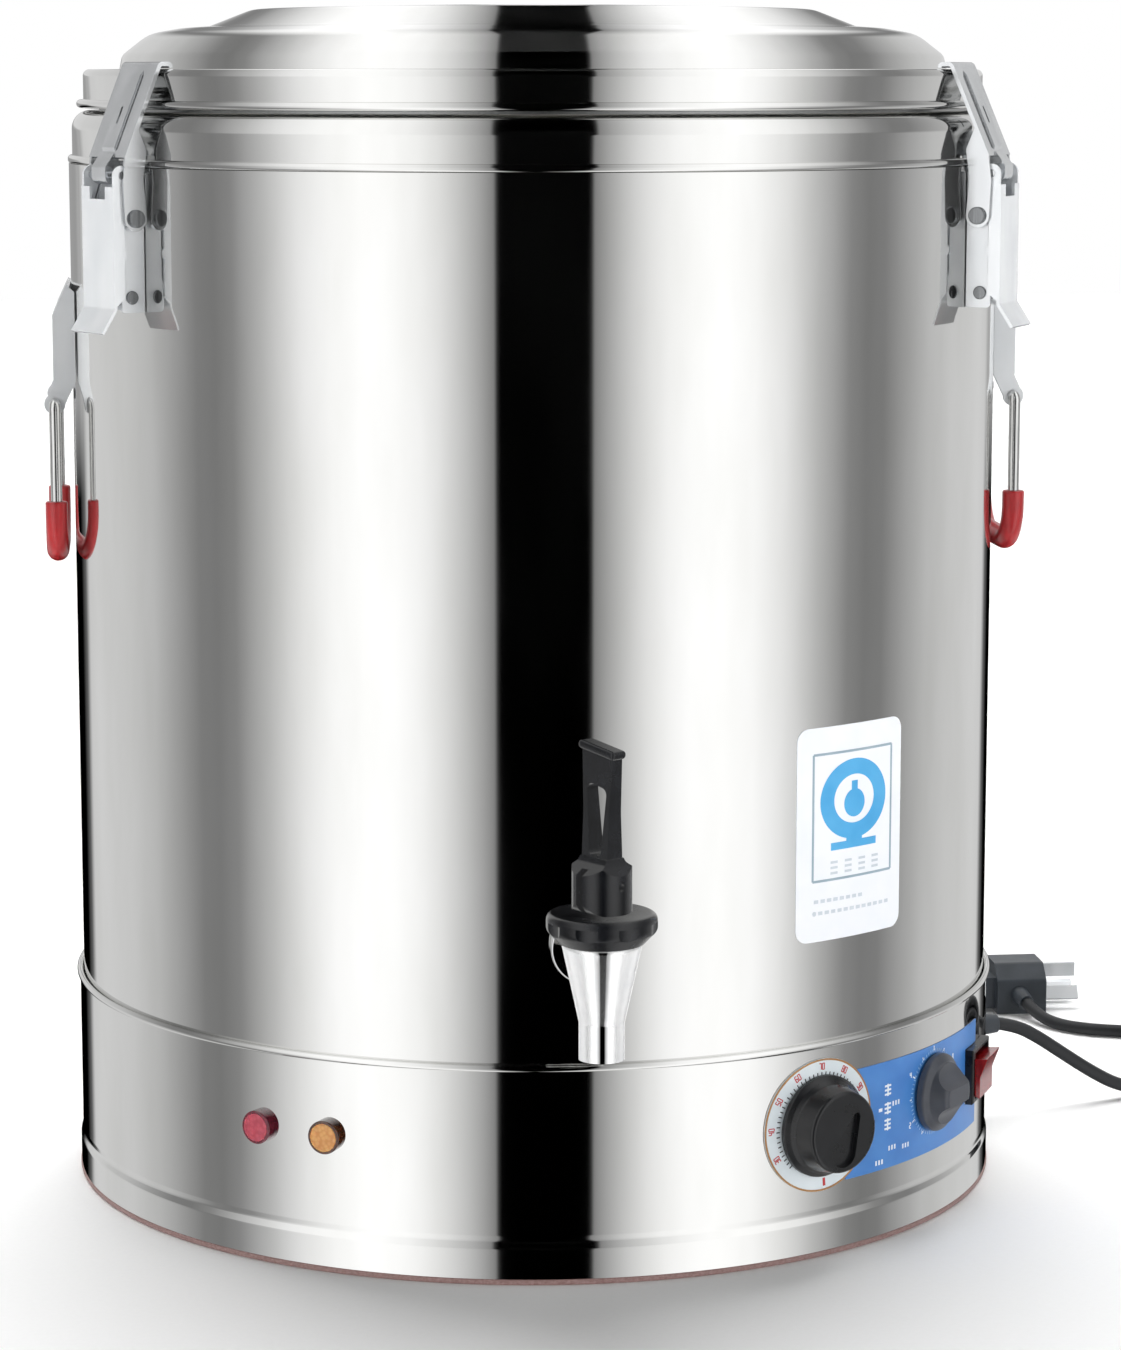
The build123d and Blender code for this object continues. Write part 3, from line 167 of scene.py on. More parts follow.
def polished_stainless():
    """304 sheet buffed to a mirror: clean reflections with a faint haze from the buffing wheel."""
    material, tree, shader = surface("polished_stainless", Metallic=1.0)
    haze = grain(tree, 22, stretch=(1, 1, 0.25))
    vary(tree, shader, haze, ("#E2E2E0", "#E9E9E8"), (0.035, 0.06))
    return material


def pressed_stainless():
    """Bright pressed sheet of the latch arms: slow waves left by the press tool."""
    material, tree, shader = surface("pressed_stainless", Metallic=0.92)
    wave = grain(tree, 14, detail=1.0, stretch=(1, 1, 0.4))
    vary(tree, shader, wave, ("#D2D4D6", "#E2E4E6"), (0.1, 0.16), (wave, 0.5, 0.35))
    return material


def plated_sheet():
    """Plated pressed sheet: whiter than the barrel, as about half of it is a near-white
    base colour that is a painted highlight, with a soft cloudy sheen.
    """
    # painted highlight: with a metallic under a half, the near-white colour shows matt white like a
    # bright reflection
    material, tree, shader = surface("plate_painted_highlight", Metallic=0.48)
    cloud = grain(tree, 12, detail=1.0, stretch=(1, 1, 0.4))
    vary(tree, shader, cloud, ("#E6E9EC", "#F3F5F7"), (0.18, 0.26), (cloud, 0.3, 0.3))
    return material


def drawn_stainless():
    """Drawn wire of the bails: bright, with fine lines left by the die. The real lines are a tenth
    of a millimetre apart, and are drawn coarser to show."""
    material, tree, shader = surface("drawn_stainless", Metallic=1.0)
    lines = grain(tree, 1.2, stretch=(1, 1, 0.1))
    vary(tree, shader, lines, ("#CFCFCE", "#E6E6E5"), (0.12, 0.22))
    return material


def turned_steel():
    """Turned steel rivets: greyer than the sheet that they hold, a darker grey that is painted
    shade for the dark rims of the rivet heads. Their turning marks are drawn coarser than the real
    ones to show."""
    material, tree, shader = surface("turned_steel", Metallic=1.0)
    lathe = grain(tree, 1.2, stretch=(1, 1, 0.1))
    # painted shade: the grey is darker than the sheet's to stand in for the shade round the rivet
    # heads
    vary(tree, shader, lathe, ("#7C7E80", "#97999B"), (0.18, 0.28))
    return material


def satin_stainless():
    """Unpolished sheet of the tank, liner and base: a dull surface with the mill's rolling lines,
    which are drawn coarser than the real ones to show."""
    material, tree, shader = surface("satin_stainless", Metallic=1.0)
    roll = grain(tree, 1.5, stretch=(1, 1, 0.08))
    vary(tree, shader, roll, ("#B4B5B5", "#C9CACA"), (0.28, 0.4), (roll, 0.02, 0.3))
    return material


def chrome_plate():
    """Bright chromium over cast brass: a clean, cold mirror."""
    material, tree, shader = surface("chrome_plate", Metallic=1.0)
    swirl = grain(tree, 6)
    vary(tree, shader, swirl, ("#DDDEDF", "#EBEBEB"), (0.03, 0.06))
    return material


def bright_chrome():
    """Chromium over the cast spout: a mirror face on, with a painted white reflection at its
    flanks.
    """
    material, tree, shader = surface("bright_chrome", Metallic=1.0)
    swirl = grain(tree, 6)
    vary(tree, shader, swirl, ("#F0F1F2", "#F8F8F8"), (0.03, 0.06))
    # painted reflection: towards the flanks the metal gives way to the near-white base colour,
    # which stands in for the bright room that the spout mirrors there
    flank = add(tree, "ShaderNodeLayerWeight", {"Blend": 0.5}).outputs["Facing"]
    mirror = add(
        tree, "ShaderNodeMapRange",
        {"Value": flank, "From Min": 0.08, "From Max": 0.3, "To Min": 1.0, "To Max": 0.3},
    ).outputs["Result"]
    tree.links.new(mirror, shader.inputs["Metallic"])
    return material


def moulded_plastic(name, colours, roughness, pits_mm):
    """Dark phenolic, ABS, nylon or PVC from a matt mould: fine pits break up the sheen. The real
    pits are about 0.1 mm across, and are drawn coarser to show."""
    material, tree, shader = surface(name, IOR=1.5)
    pits = grain(tree, pits_mm, detail=2.0)
    vary(tree, shader, grain(tree, 9), colours, roughness, (pits, 0.05, 0.35))
    return material


def dipped_pvc():
    """Plastisol dipped over wire: saturated red, soft skin, slightly uneven."""
    material, tree, shader = surface(
        "dipped_pvc", IOR=1.52, Subsurface_Weight=0.08, Subsurface_Scale=0.002, Coat_Weight=0.35,
        Coat_Roughness=0.12,
    )
    runs = grain(tree, 5, stretch=(1, 1, 0.5))
    vary(tree, shader, runs, ("#A01218", "#B61D22"), (0.3, 0.42), (runs, 0.25, 0.4))
    return material


def clear_plastic(name, edge, middle):
    """Tinted polycarbonate over a lamp: glossy, with light scattered inside it."""
    material, tree, shader = surface(
        name, IOR=1.58, Subsurface_Weight=0.3, Subsurface_Scale=0.003, Coat_Weight=0.5,
        Coat_Roughness=0.05,
    )
    prisms = grain(tree, 1.6, "Voronoi", detail=0.0)
    vary(tree, shader, prisms, (middle, edge), (0.14, 0.2))
    return material


def printed_film(name, *colours):
    """Screen-printed polyester film: even ink with a light coat over it."""
    material, tree, shader = surface(name, IOR=1.5, Coat_Weight=0.3, Coat_Roughness=0.15)
    ink = grain(tree, 14, detail=2.0)
    vary(tree, shader, ink, colours, (0.34, 0.44))
    return material


def soft_rubber(name, *colours):
    """Extruded rubber or PVC: matt, with a fine drag along it that is drawn coarser to show."""
    material, tree, shader = surface(name, IOR=1.52)
    drag = grain(tree, 1.0, detail=3.0)
    vary(tree, shader, drag, colours, (0.42, 0.58), (drag, 0.06, 0.3))
    return material


def foamed_polyurethane():
    """Rigid foam: pale, with open cells about a millimetre across."""
    material, tree, shader = surface("foamed_polyurethane")
    bubbles = grain(tree, 1.2, "Voronoi", detail=0.0)
    vary(tree, shader, bubbles, ("#C9B26B", "#E6D6A0"), (0.8, 0.95), (bubbles, 0.4, 0.8))
    return material


def drawn_copper():
    """Drawn copper tube of the thermostat's capillary: a warm, slightly dull metal. Its lines are
    drawn coarser than the real ones to show."""
    material, tree, shader = surface("drawn_copper", Metallic=1.0)
    lines = grain(tree, 1.5)
    vary(tree, shader, lines, ("#B87455", "#D69A7A"), (0.2, 0.32))
    return material


steel = polished_stainless()
pressed = pressed_stainless()
plated = plated_sheet()
wire = drawn_stainless()
rivet_steel = turned_steel()
satin = satin_stainless()
chrome = chrome_plate()
spout_chrome = bright_chrome()
knob_black = moulded_plastic("phenolic_moulding", ("#0E0F11", "#18191C"), (0.24, 0.34), 0.5)
timer_grey = moulded_plastic("grey_abs", ("#3C3F46", "#4A4D55"), (0.28, 0.38), 0.5)
tap_black = moulded_plastic("black_nylon", ("#0B0C0F", "#13151A"), (0.2, 0.3), 0.9)
housing_black = moulded_plastic("housing_nylon", ("#1B1B1C", "#2A2A2B"), (0.5, 0.62), 0.7)
plug_black = moulded_plastic("plug_pvc", ("#2A3036", "#353B42"), (0.34, 0.46), 0.6)
grip_red = dipped_pvc()
switch_red = clear_plastic("switch_polycarbonate", "#860A0F", "#96141A")
lens_red = clear_plastic("red_polycarbonate", "#5E1A2A", "#742336")
lens_amber = clear_plastic("amber_polycarbonate", "#3E2114", "#5A3018")
glow_red = clear_plastic("frosted_red_polycarbonate", "#B23E50", "#C04C5C")
glow_amber = clear_plastic("frosted_amber_polycarbonate", "#C98238", "#D89A50")
label_white = printed_film("white_polyester", "#F0F4FA", "#F6F8FC")
label_blue = printed_film("pale_blue_ink", "#3EA4E0", "#55B4EA")
label_grey = printed_film("grey_blue_ink", "#8FA6B4", "#A3B6C2")
label_faint = printed_film("faint_grey_ink", "#C6CFD8", "#D2DAE2")
panel_blue = printed_film("blue_polyester", "#3D7CC8", "#4A8AD2")
panel_pale = printed_film("pale_panel_ink", "#9CC0E6", "#ACCBEB")
print_white = printed_film("white_ink", "#E8EEF6", "#F3F7FB")
print_red = printed_film("red_ink", "#B5262B", "#C8353A")
print_black = printed_film("black_ink", "#1C1C20", "#2A2A30")
print_gold = printed_film("bronze_ink", "#9A6B3A", "#B58651")
dial_white = printed_film("white_enamel", "#D8E2E7", "#E2EAEE")
cord_black = soft_rubber("cord_pvc", "#15171A", "#202226")
foot_brown = soft_rubber("edging_rubber", "#8A6A66", "#A58884")
seal_white = soft_rubber("silicone_rubber", "#D8D6D0", "#E8E6E0")
foam = foamed_polyurethane()
copper = drawn_copper()

solid_finishes = {
    "polished_steel": steel, "tank_steel": satin, "plain_steel": satin, "copper": copper,
    "foam": foam, "foot_rubber": foot_brown, "seal_rubber": seal_white,
    "black_plastic": tap_black, "housing_plastic": housing_black, "blue_print": panel_blue,
    "dial_white": dial_white, "red_switch": switch_red, "red_lens": lens_red,
    "amber_lens": lens_amber, "red_pvc": grip_red, "cord_jacket": cord_black,
    "plug_plastic": plug_black, "chrome_plate": chrome, "white_film": label_white,
}


def paint(piece, material):
    """The piece in one material."""
    piece.data.materials.clear()
    piece.data.materials.append(material)
    return piece


slot_of = {row["node"]: row["material_slot"] for row in frame["record"]["subparts"]}
body_of = {
    node: body
    for body, members in frame["record"]["behaviour"]["bodies"].items()
    for node in members
}
for node, piece in frame["nodes"].items():
    paint(piece, solid_finishes.get(slot_of[node], satin))


# ---------------------------------------------------------------- making meshes
hard_edge = radians(35)     # a crease sharper than this stays hard
arc_step = radians(7)
around_urn = 720            # faces round the barrel, skirt and lid
around_lamp = 96


def add_piece(name, mesh, material, body, replaced=(), slot=None):
    """A piece that rides on a body, in place of the nodes that it replaces."""
    piece = bpy.data.objects.new(name, mesh)
    bpy.context.scene.collection.objects.link(piece)
    paint(piece, material)
    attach(piece, body)
    if replaced:
        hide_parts(*replaced)
        slot = slot or slot_of[replaced[0]]
    return piece


def mesh_of(verts, faces):
    """A smooth-shaded mesh in metres from millimetre vertices, with its hard edges kept."""
    mesh = bpy.data.meshes.new("mesh")
    mesh.from_pydata([tuple(c * MM for c in v) for v in verts], [], faces)
    mesh.validate()
    shade(mesh)
    return mesh


def shade(mesh, crease=hard_edge):
    """Smooth shading, broken where the mesh is creased."""
    mesh.polygons.foreach_set("use_smooth", [True] * len(mesh.polygons))
    mesh.set_sharp_from_angle(angle=crease)
    mesh.update()


def unit(a, b):
    """The direction from a to b in the plane, and how far it is."""
    length = hypot(b[0] - a[0], b[1] - a[1])
    return ((b[0] - a[0]) / length, (b[1] - a[1]) / length), length


def rounded(corners, closed=True):
    """Corners (x, y) or (x, y, radius) as a polyline, with a short support beside each arc."""
    line = []
    count = len(corners)
    for i, corner in enumerate(corners):
        point = corner[:2]
        radius = corner[2] if len(corner) > 2 else 0
        if not closed and i in (0, count - 1) or not radius:
            line.append(point)
            continue
        u, before = unit(point, corners[i - 1][:2])
        v, after = unit(point, corners[(i + 1) % count][:2])
        middle = hypot(u[0] + v[0], u[1] + v[1])
        half = atan2(hypot(u[0] - v[0], u[1] - v[1]), middle)
        reach = radius / tan(half)
        centre = (
            point[0] + (u[0] + v[0]) / middle * radius / sin(half),
            point[1] + (u[1] + v[1]) / middle * radius / sin(half),
        )
        turn = pi - 2 * half
        steps = max(2, round(turn / arc_step))
        start = (point[0] + u[0] * reach - centre[0], point[1] + u[1] * reach - centre[1])
        side = 1 if u[0] * v[1] - u[1] * v[0] < 0 else -1
        support = min(0.3, before * 0.2, after * 0.2)
        line.append((point[0] + u[0] * (reach + support), point[1] + u[1] * (reach + support)))
        for k in range(steps + 1):
            angle = side * turn * k / steps
            line.append((
                centre[0] + start[0] * cos(angle) - start[1] * sin(angle),
                centre[1] + start[0] * sin(angle) + start[1] * cos(angle),
            ))
        line.append((point[0] + v[0] * (reach + support), point[1] + v[1] * (reach + support)))
    return line


def beside(path, distance):
    """The path moved sideways to its left, with mitred corners and radii to match."""
    moved = []
    for i, corner in enumerate(path):
        before = unit(path[i - 1][:2], corner[:2])[0] if i else None
        after = unit(corner[:2], path[i + 1][:2])[0] if i + 1 < len(path) else None
        a = before or after
        b = after or before
        scale = distance / (1 + a[0] * b[0] + a[1] * b[1])
        point = (corner[0] - (a[1] + b[1]) * scale, corner[1] + (a[0] + b[0]) * scale)
        if len(corner) > 2:
            left_turn = a[0] * b[1] - a[1] * b[0] > 0
            radius = corner[2] - distance if left_turn else corner[2] + distance
            point = (*point, max(radius, 0.05))
        moved.append(point)
    return moved


def sheet_section(path, wall):
    """The closed section of a bent sheet that lies to the left of the path."""
    return rounded(path, closed=False) + rounded(beside(path, wall), closed=False)[::-1]


def spun(section, segments):
    """A closed section (out, height) spun about the Z axis. A point on the axis is a pole."""
    verts, rings = [], []
    for out, height in section:
        if abs(out) < 1e-6:
            rings.append([len(verts)] * segments)
            verts.append((0, 0, height))
            continue
        rings.append(range(len(verts), len(verts) + segments))
        for k in range(segments):
            angle = 2 * pi * k / segments
            verts.append((out * cos(angle), out * sin(angle), height))
    faces = []
    for a, b in zip(rings, rings[1:] + rings[:1]):
        for k in range(segments):
            n = (k + 1) % segments
            face = []
            for v in (a[k], b[k], b[n], a[n]):
                if v not in face:
                    face.append(v)
            if len(face) > 2:
                faces.append(face)
    return outward(mesh_of(verts, faces))


def outward(mesh):
    """Turns every face of a closed mesh outwards."""
    work = bmesh.new()
    work.from_mesh(mesh)
    bmesh.ops.recalc_face_normals(work, faces=work.faces)
    work.to_mesh(mesh)
    work.free()
    shade(mesh)
    return mesh


def bead_ring(out, height, radius):
    """The section of a rolled bead."""
    steps = 24
    return [
        (out + radius * cos(2 * pi * k / steps), height + radius * sin(2 * pi * k / steps))
        for k in range(steps)
    ]


def joined(meshes):
    """Several meshes as one."""
    work = bmesh.new()
    for mesh in meshes:
        work.from_mesh(mesh)
    mesh = bpy.data.meshes.new("mesh")
    work.to_mesh(mesh)
    work.free()
    shade(mesh)
    return mesh


def facing(azimuth, out, height):
    """From x right, y up, z outwards to the barrel: a matrix in metres."""
    a = radians(azimuth)
    return Matrix((
        (cos(a), 0, sin(a), out * sin(a) * MM),
        (sin(a), 0, -cos(a), -out * cos(a) * MM),
        (0, 1, 0, height * MM),
        (0, 0, 0, 1),
    ))


def softened(node, width, material, segments=2):
    """A CAD node with its hard edges rolled over by a small bevel, as a tool leaves them."""
    same_place, flat_enough, bevelled_above = 0.002 * MM, radians(1), radians(30)
    mesh = frame["nodes"][node].data.copy()
    work = bmesh.new()
    work.from_mesh(mesh)
    bmesh.ops.remove_doubles(work, verts=work.verts, dist=same_place)
    bmesh.ops.dissolve_limit(
        work, angle_limit=flat_enough, verts=work.verts, edges=work.edges
    )
    work.to_mesh(mesh)
    work.free()
    shade(mesh, pi)
    piece = add_piece(node + "_shape", mesh, material, body_of[node], [node])
    bevel = piece.modifiers.new("rolled_edges", "BEVEL")
    bevel.width = width * MM
    bevel.segments = segments
    bevel.limit_method = "ANGLE"
    bevel.angle_limit = bevelled_above
    flat = piece.modifiers.new("flat_faces", "WEIGHTED_NORMAL")
    flat.mode = "FACE_AREA"
    flat.weight = 100
    graph = bpy.context.evaluated_depsgraph_get()
    piece.data = bpy.data.meshes.new_from_object(piece.evaluated_get(graph))
    piece.modifiers.clear()
    return piece


def wrapped(rows, azimuth, height, low, high, closed=False):
    """Thin ink or film round the barrel. Rows of (right, up) points, from radius low to high."""
    count = len(rows[0])
    verts = []
    for out in (high, low):
        for row in rows:
            for right, up in row:
                a = radians(azimuth) + right / body_radius
                verts.append((out * sin(a), -out * cos(a), height + up))
    layer = len(rows) * count
    faces = []
    across = range(count if closed else count - 1)
    for r in range(len(rows) - 1):
        for c in across:
            a, b = r * count + c, r * count + (c + 1) % count
            faces.append((a, b, b + count, a + count))
            faces.append((a + layer + count, b + layer + count, b + layer, a + layer))
    edges = [(c, (c + 1) % count, 0) for c in across]
    edges += [(c + layer - count, (c + 1) % count + layer - count, 1) for c in across]
    if not closed:
        edges += [(r * count, (r + 1) * count, 1) for r in range(len(rows) - 1)]
        edges += [((r + 1) * count - 1, (r + 2) * count - 1, 0) for r in range(len(rows) - 1)]
    for a, b, way in edges:
        wall = (a, a + layer, b + layer, b)
        faces.append(wall if way else wall[::-1])
    return outward(mesh_of(verts, faces))


ink_rise, ink_sink = 0.08, 0.1      # ink over a printed face, and its root below it
ink_span = 3.0                      # the longest straight piece of ink round the barrel


def ink_place(azimuth, height, face):
    """The azimuth and height of a print, and the radii of its back and its front."""
    return azimuth, height, face - ink_sink, face + ink_rise


def ink_bar(start, end, width, *place):
    """A printed stroke between two points."""
    (x0, y0), (x1, y1) = start, end
    length = hypot(x1 - x0, y1 - y0)
    nx, ny = -(y1 - y0) / length * width / 2, (x1 - x0) / length * width / 2
    steps = max(1, round(length / ink_span))
    points = [(x0 + (x1 - x0) * k / steps, y0 + (y1 - y0) * k / steps) for k in range(steps + 1)]
    rows = [[(x - nx, y - ny) for x, y in points], [(x + nx, y + ny) for x, y in points]]
    return wrapped(rows, *place)


def ink_ring(centre, inner, outer, *place, squash=1.0, segments=72):
    """A printed ring, or a disc when its inner radius is nearly nothing."""
    rows = []
    steps = max(1, round((outer - inner) / ink_span))
    for s in range(steps + 1):
        r = inner + (outer - inner) * s / steps
        turns = [2 * pi * k / segments for k in range(segments)]
        rows.append([(centre[0] + squash * r * cos(a), centre[1] + r * sin(a)) for a in turns])
    return wrapped(rows, *place, closed=True)


digit_strokes = {
    "0": "abcdef", "1": "bc", "2": "abged", "3": "abgcd", "4": "fgbc", "5": "afgcd", "6": "afgedc",
    "7": "abc", "8": "abcdefg", "9": "abcdfg",
}
stroke_ends = {
    "a": ((-1, 2), (1, 2)), "b": ((1, 2), (1, 0)), "c": ((1, 0), (1, -2)), "d": ((-1, -2), (1, -2)),
    "e": ((-1, 0), (-1, -2)), "f": ((-1, 2), (-1, 0)), "g": ((-1, 0), (1, 0)),
}


def ink_number(text, centre, size, width, turn, *place):
    """Numerals of straight strokes, size mm tall, turned clockwise about their centre."""
    strokes = []
    step, half_width, half_height = 0.62 * size, 0.2 * size, 0.25 * size
    for i, digit in enumerate(text):
        shift = (i - (len(text) - 1) / 2) * step
        for stroke in digit_strokes[digit]:
            ends = []
            for x, y in stroke_ends[stroke]:
                x, y = shift + x * half_width, y * half_height
                ends.append((
                    centre[0] + x * cos(turn) + y * sin(turn),
                    centre[1] - x * sin(turn) + y * cos(turn),
                ))
            strokes.append(ink_bar(*ends, width, *place))
    return strokes


# ---------------------------------------------------------------- barrel, skirt and lid
collar_path = [
    (collar_radius, flange_foot), (collar_radius, collar_top, collar_round),
    (mouth_radius, collar_top),
]
# the skirt from its foot up: a plain band, a shallow groove, and the side up to the bead
skirt_path = [
    (182.3, foot_height), (182.3, 13.5, 2), (181.23, 15.8, 2), (skirt_radius, 18.1, 2),
    (skirt_radius, skirt_top),
]
# the lid from its foot up and inwards: the band, the ledge, a step, the shoulder, the dome
lid_path = [
    (lid_band_radius, lid_band_foot), (lid_band_radius, ledge_height, 2.5),
    (160, ledge_height, 0.8), (158.9, 437.8, 4), (148.5, 445.9, 16), (136.5, 448, 20),
    (125.5, 448.8, 3), (109, 455.2, 12), (60, 456.4), (0, 456.4),
]


def barrel():
    """The shell, the collar with its flange, the skirt with its bead, and the foot's edging."""
    inside = body_radius - shell_wall
    shell = rounded([
        (inside, shell_foot), (body_radius, shell_foot), (body_radius, flange_foot),
        (inside, flange_foot),
    ])
    add_piece("barrel_shell", spun(shell, around_urn), steel, "urn", ["outer_shell"])
    collar = spun(sheet_section(collar_path, collar_wall), around_urn)
    back, front = collar_radius - collar_wall, body_radius + flange_proud
    flange_top, roll = flange_foot + flange_height, 1.2
    flange = spun(rounded([
        (back, flange_foot), (front, flange_foot, roll), (front, flange_top, roll),
        (back, flange_top),
    ]), around_urn)
    add_piece("rim_band", joined([collar, flange]), steel, "urn", ["rim_collar"])
    skirt = spun(sheet_section(skirt_path, skirt_wall), around_urn)
    bead = spun(bead_ring(skirt_radius, skirt_top - 0.1, skirt_bead), around_urn)
    add_piece("skirt_band", joined([skirt, bead]), steel, "urn", ["base_skirt"])
    outside = body_radius + foot_width
    edging = rounded([
        (body_radius, 0, 0.3), (outside, 0, 0.8), (outside, foot_height, 0.8),
        (body_radius, foot_height, 0.3),
    ])
    add_piece("foot_edging", spun(edging, around_urn), foot_brown, "urn", ["foot_ring"])


def lid():
    """The pressed cover with its rolled bead."""
    cover = spun(sheet_section(lid_path, lid_wall), around_urn)
    bead_out = lid_band_radius + lid_bead - lid_wall / 2
    bead = spun(bead_ring(bead_out, lid_band_foot, lid_bead), around_urn)
    add_piece("lid_dome", joined([cover, bead]), steel, "lid", ["lid_cover"])


barrel()
lid()


# ---------------------------------------------------------------- latches and handles
for side in latch_sides:
    softened(f"latch_{side}_arm", 0.35, pressed)
    softened(f"latch_{side}_lever", 0.3, plated)
    softened(f"latch_{side}_link", 0.3, pressed)
softened("latch_brackets", 0.3, plated)
softened("latch_rivets", 0.5, rivet_steel, segments=3)
softened("handle_brackets", 0.4, plated)
for side in handle_sides:
    paint(frame["nodes"][f"handle_{side}_bail"], wire)
    softened(f"handle_{side}_grip", 0.8, grip_red, segments=4)

# ---------------------------------------------------------------- tap
# the barrel beside the tap doesn't mirror these, so that its stripes stay whole
for tap_piece in (
    softened("tap_body", 0.3, spout_chrome),
    softened("tap_bonnet_nut", 1.0, tap_black, segments=4),
    softened("tap_lever", 0.6, tap_black, segments=3),
    softened("tap_stem", 0.2, satin),
    softened("tap_stem_pin", 0.1, tap_black),
):
    tap_piece.visible_glossy = False
softened("tap_face_nut", 0.8, chrome, segments=3)

# ---------------------------------------------------------------- controls
softened("thermostat_knob", 0.5, knob_black, segments=3)
softened("timer_knob", 0.5, timer_grey, segments=3)
paint(frame["nodes"]["rocker_bezel"], knob_black)
softened("rocker", 0.4, switch_red, segments=3)
softened("strain_relief", 0.4, plug_black)


def polar(centre, radius, degrees):
    """A point on a circle, clockwise from straight up."""
    a = radians(degrees)
    return (centre[0] + radius * sin(a), centre[1] + radius * cos(a))


def dial_print():
    """Scale of the thermostat: a brown rim, black divisions, red degrees and a red mark for off."""
    place = ink_place(thermostat_azimuth, control_height, skirt_radius + dial_wall)
    middle = (0, 0)
    rim = ink_ring(middle, dial_radius - 0.75, dial_radius - 0.05, *place)
    add_piece("dial_rim_print", rim, print_gold, "urn", slot="dial_white")
    ticks, degrees = [], []
    divisions, sweep = 48, 270
    for k in range(divisions + 1):
        turn = -sweep / 2 + sweep * k / divisions
        ticks.append(ink_bar(polar(middle, 18.6, turn), polar(middle, 20.0, turn), 0.42, *place))
    numbers, number_sweep = range(30, 111, 10), 236
    number_out, number_size, number_stroke = 22.1, 2.3, 0.36
    for k, number in enumerate(numbers):
        turn = -number_sweep / 2 + number_sweep * k / (len(numbers) - 1)
        degrees += ink_number(
            str(number), polar(middle, number_out, turn), number_size, number_stroke,
            radians(turn), *place
        )
    off_turn = 176
    degrees.append(
        ink_bar(polar(middle, 20.2, off_turn), polar(middle, 23.2, off_turn), 1.1, *place)
    )
    add_piece("dial_divisions", joined(ticks), print_black, "urn", slot="dial_white")
    add_piece("dial_degrees", joined(degrees), print_red, "urn", slot="dial_white")


def panel_print():
    """White scale of the timer, a fine pale ring of minutes, and marks between the two knobs."""
    place = ink_place(timer_azimuth, control_height, skirt_radius + panel_wall)
    middle = (0, 0)
    marks, minutes = [], []
    for k in range(60):
        turn = 6 * k + 3
        minutes.append(ink_bar(polar(middle, 15.2, turn), polar(middle, 16.4, turn), 0.35, *place))
    for k in range(11):
        turn = -150 + 30 * k
        tip = 17.6 if k % 2 else 17.1
        marks.append(ink_bar(polar(middle, 15.9, turn), polar(middle, tip, turn), 0.5, *place))
    for number, turn in (("2", -120), ("4", -60), ("8", 60)):
        marks += ink_number(number, polar(middle, 19.4, turn), 2.0, 0.4, 0, *place)
    # three crossed blocks in a column and a dash beside them, then four small blocks of bars
    column, bar = -31.0, 0.75
    for up in (7.0, 0, -6.2):
        for row in (-1.6, 0, 1.6):
            marks.append(ink_bar((column - 1.8, up + row), (column + 1.8, up + row), bar, *place))
        marks.append(ink_bar((column, up - 2.3), (column, up + 2.3), bar, *place))
    marks.append(ink_bar((column - 5.2, 0), (column - 3.2, 0), 1.3, *place))
    blocks = (
        (column + 2.5, -15.6), (column + 11, -16.6), (column - 5, -20.0), (column + 4.6, 1.2),
    )
    for right, up in blocks:
        for step in (-1.4, 0.3, 2.0):
            marks.append(ink_bar((right + step, up - 0.9), (right + step, up + 0.9), 0.8, *place))
    add_piece("timer_minutes", joined(minutes), panel_pale, "urn", slot="blue_print")
    add_piece("panel_marks", joined(marks), print_white, "urn", slot="blue_print")


def label_print():
    """A plain frame round a drop in a disc, and lines where a label carries its small print."""
    place = ink_place(label_azimuth, label_height, body_radius + label_wall)
    left, right, top, foot = -19.2, 20.7, 29.6, -17.1
    corners = [(left, foot), (right, foot), (right, top), (left, top)]
    lines = [ink_bar(a, b, 0.9, *place) for a, b in zip(corners, corners[1:] + corners[:1])]
    add_piece("label_frame", joined(lines), label_grey, "urn", slot="white_film")
    middle, heart = 0.8, 11.8
    disc = ink_ring((middle, heart), 9.0, 14.8, *place, squash=1.13)
    drop = ink_ring((middle, heart - 1.6), 0.05, 5.2, *place)
    tip = ink_bar((middle, heart + 1), (middle, heart + 6.6), 3.0, *place)
    ripple = ink_bar((middle - 11.5, -5.0), (middle + 11.5, -5.0), 2.8, *place)
    stem = ink_bar((middle - 4, -2.8), (middle + 4, -2.8), 2.4, *place)
    emblem = joined([disc, drop, tip, ripple, stem])
    add_piece("label_emblem", emblem, label_blue, "urn", slot="white_film")
    faint = []
    for k in range(4):
        start = middle - 11.6 + 7 * k
        for up in (-10.8, -12.8, -14.8):
            faint.append(ink_bar((start, up), (start + 3.4, up), 0.9, *place))
    dash, dash_pitch, dash_width = 2.0, 3.1, 1.3
    for dashes, first, up in ((8, -18.5, -24.6), (12, -16.5, -29)):
        for k in range(dashes):
            start = first + dash_pitch * k
            faint.append(ink_bar((start, up), (start + dash, up), dash_width, *place))
    faint.append(ink_ring((-18.3, -29), 0.05, 0.9, *place, segments=16))
    add_piece("label_small_print", joined(faint), label_faint, "urn", slot="white_film")


def pilot_lamp(name, tinted, frosted):
    """A short cylinder of tinted plastic with a frosted front, a little proud of its rim."""
    hollow, rise = lamp_radius - 0.9, lamp_rise
    front = hollow - 0.05
    place = facing(lamp_azimuths[name], skirt_radius, lamp_height)
    cap = spun(rounded([
        (0, -0.5), (lamp_radius, -0.5), (lamp_radius, rise, 0.6), (hollow, rise),
        (hollow, rise - 0.5), (0, rise - 0.5),
    ], closed=False), around_lamp)
    face = spun(rounded([
        (0, rise - 0.6), (front, rise - 0.6), (front, rise + 0.1, 0.3), (0, rise + 0.25),
    ], closed=False), around_lamp)
    cap.transform(place)
    face.transform(place)
    slot = f"{name}_lens"
    add_piece(f"{name}_lamp_cap", cap, tinted, "urn", [f"{name}_lamp"], slot)
    add_piece(f"{name}_lamp_face", face, frosted, "urn", slot=slot)


dial_print()
panel_print()
label_print()
pilot_lamp("red", lens_red, glow_red)
pilot_lamp("amber", lens_amber, glow_amber)


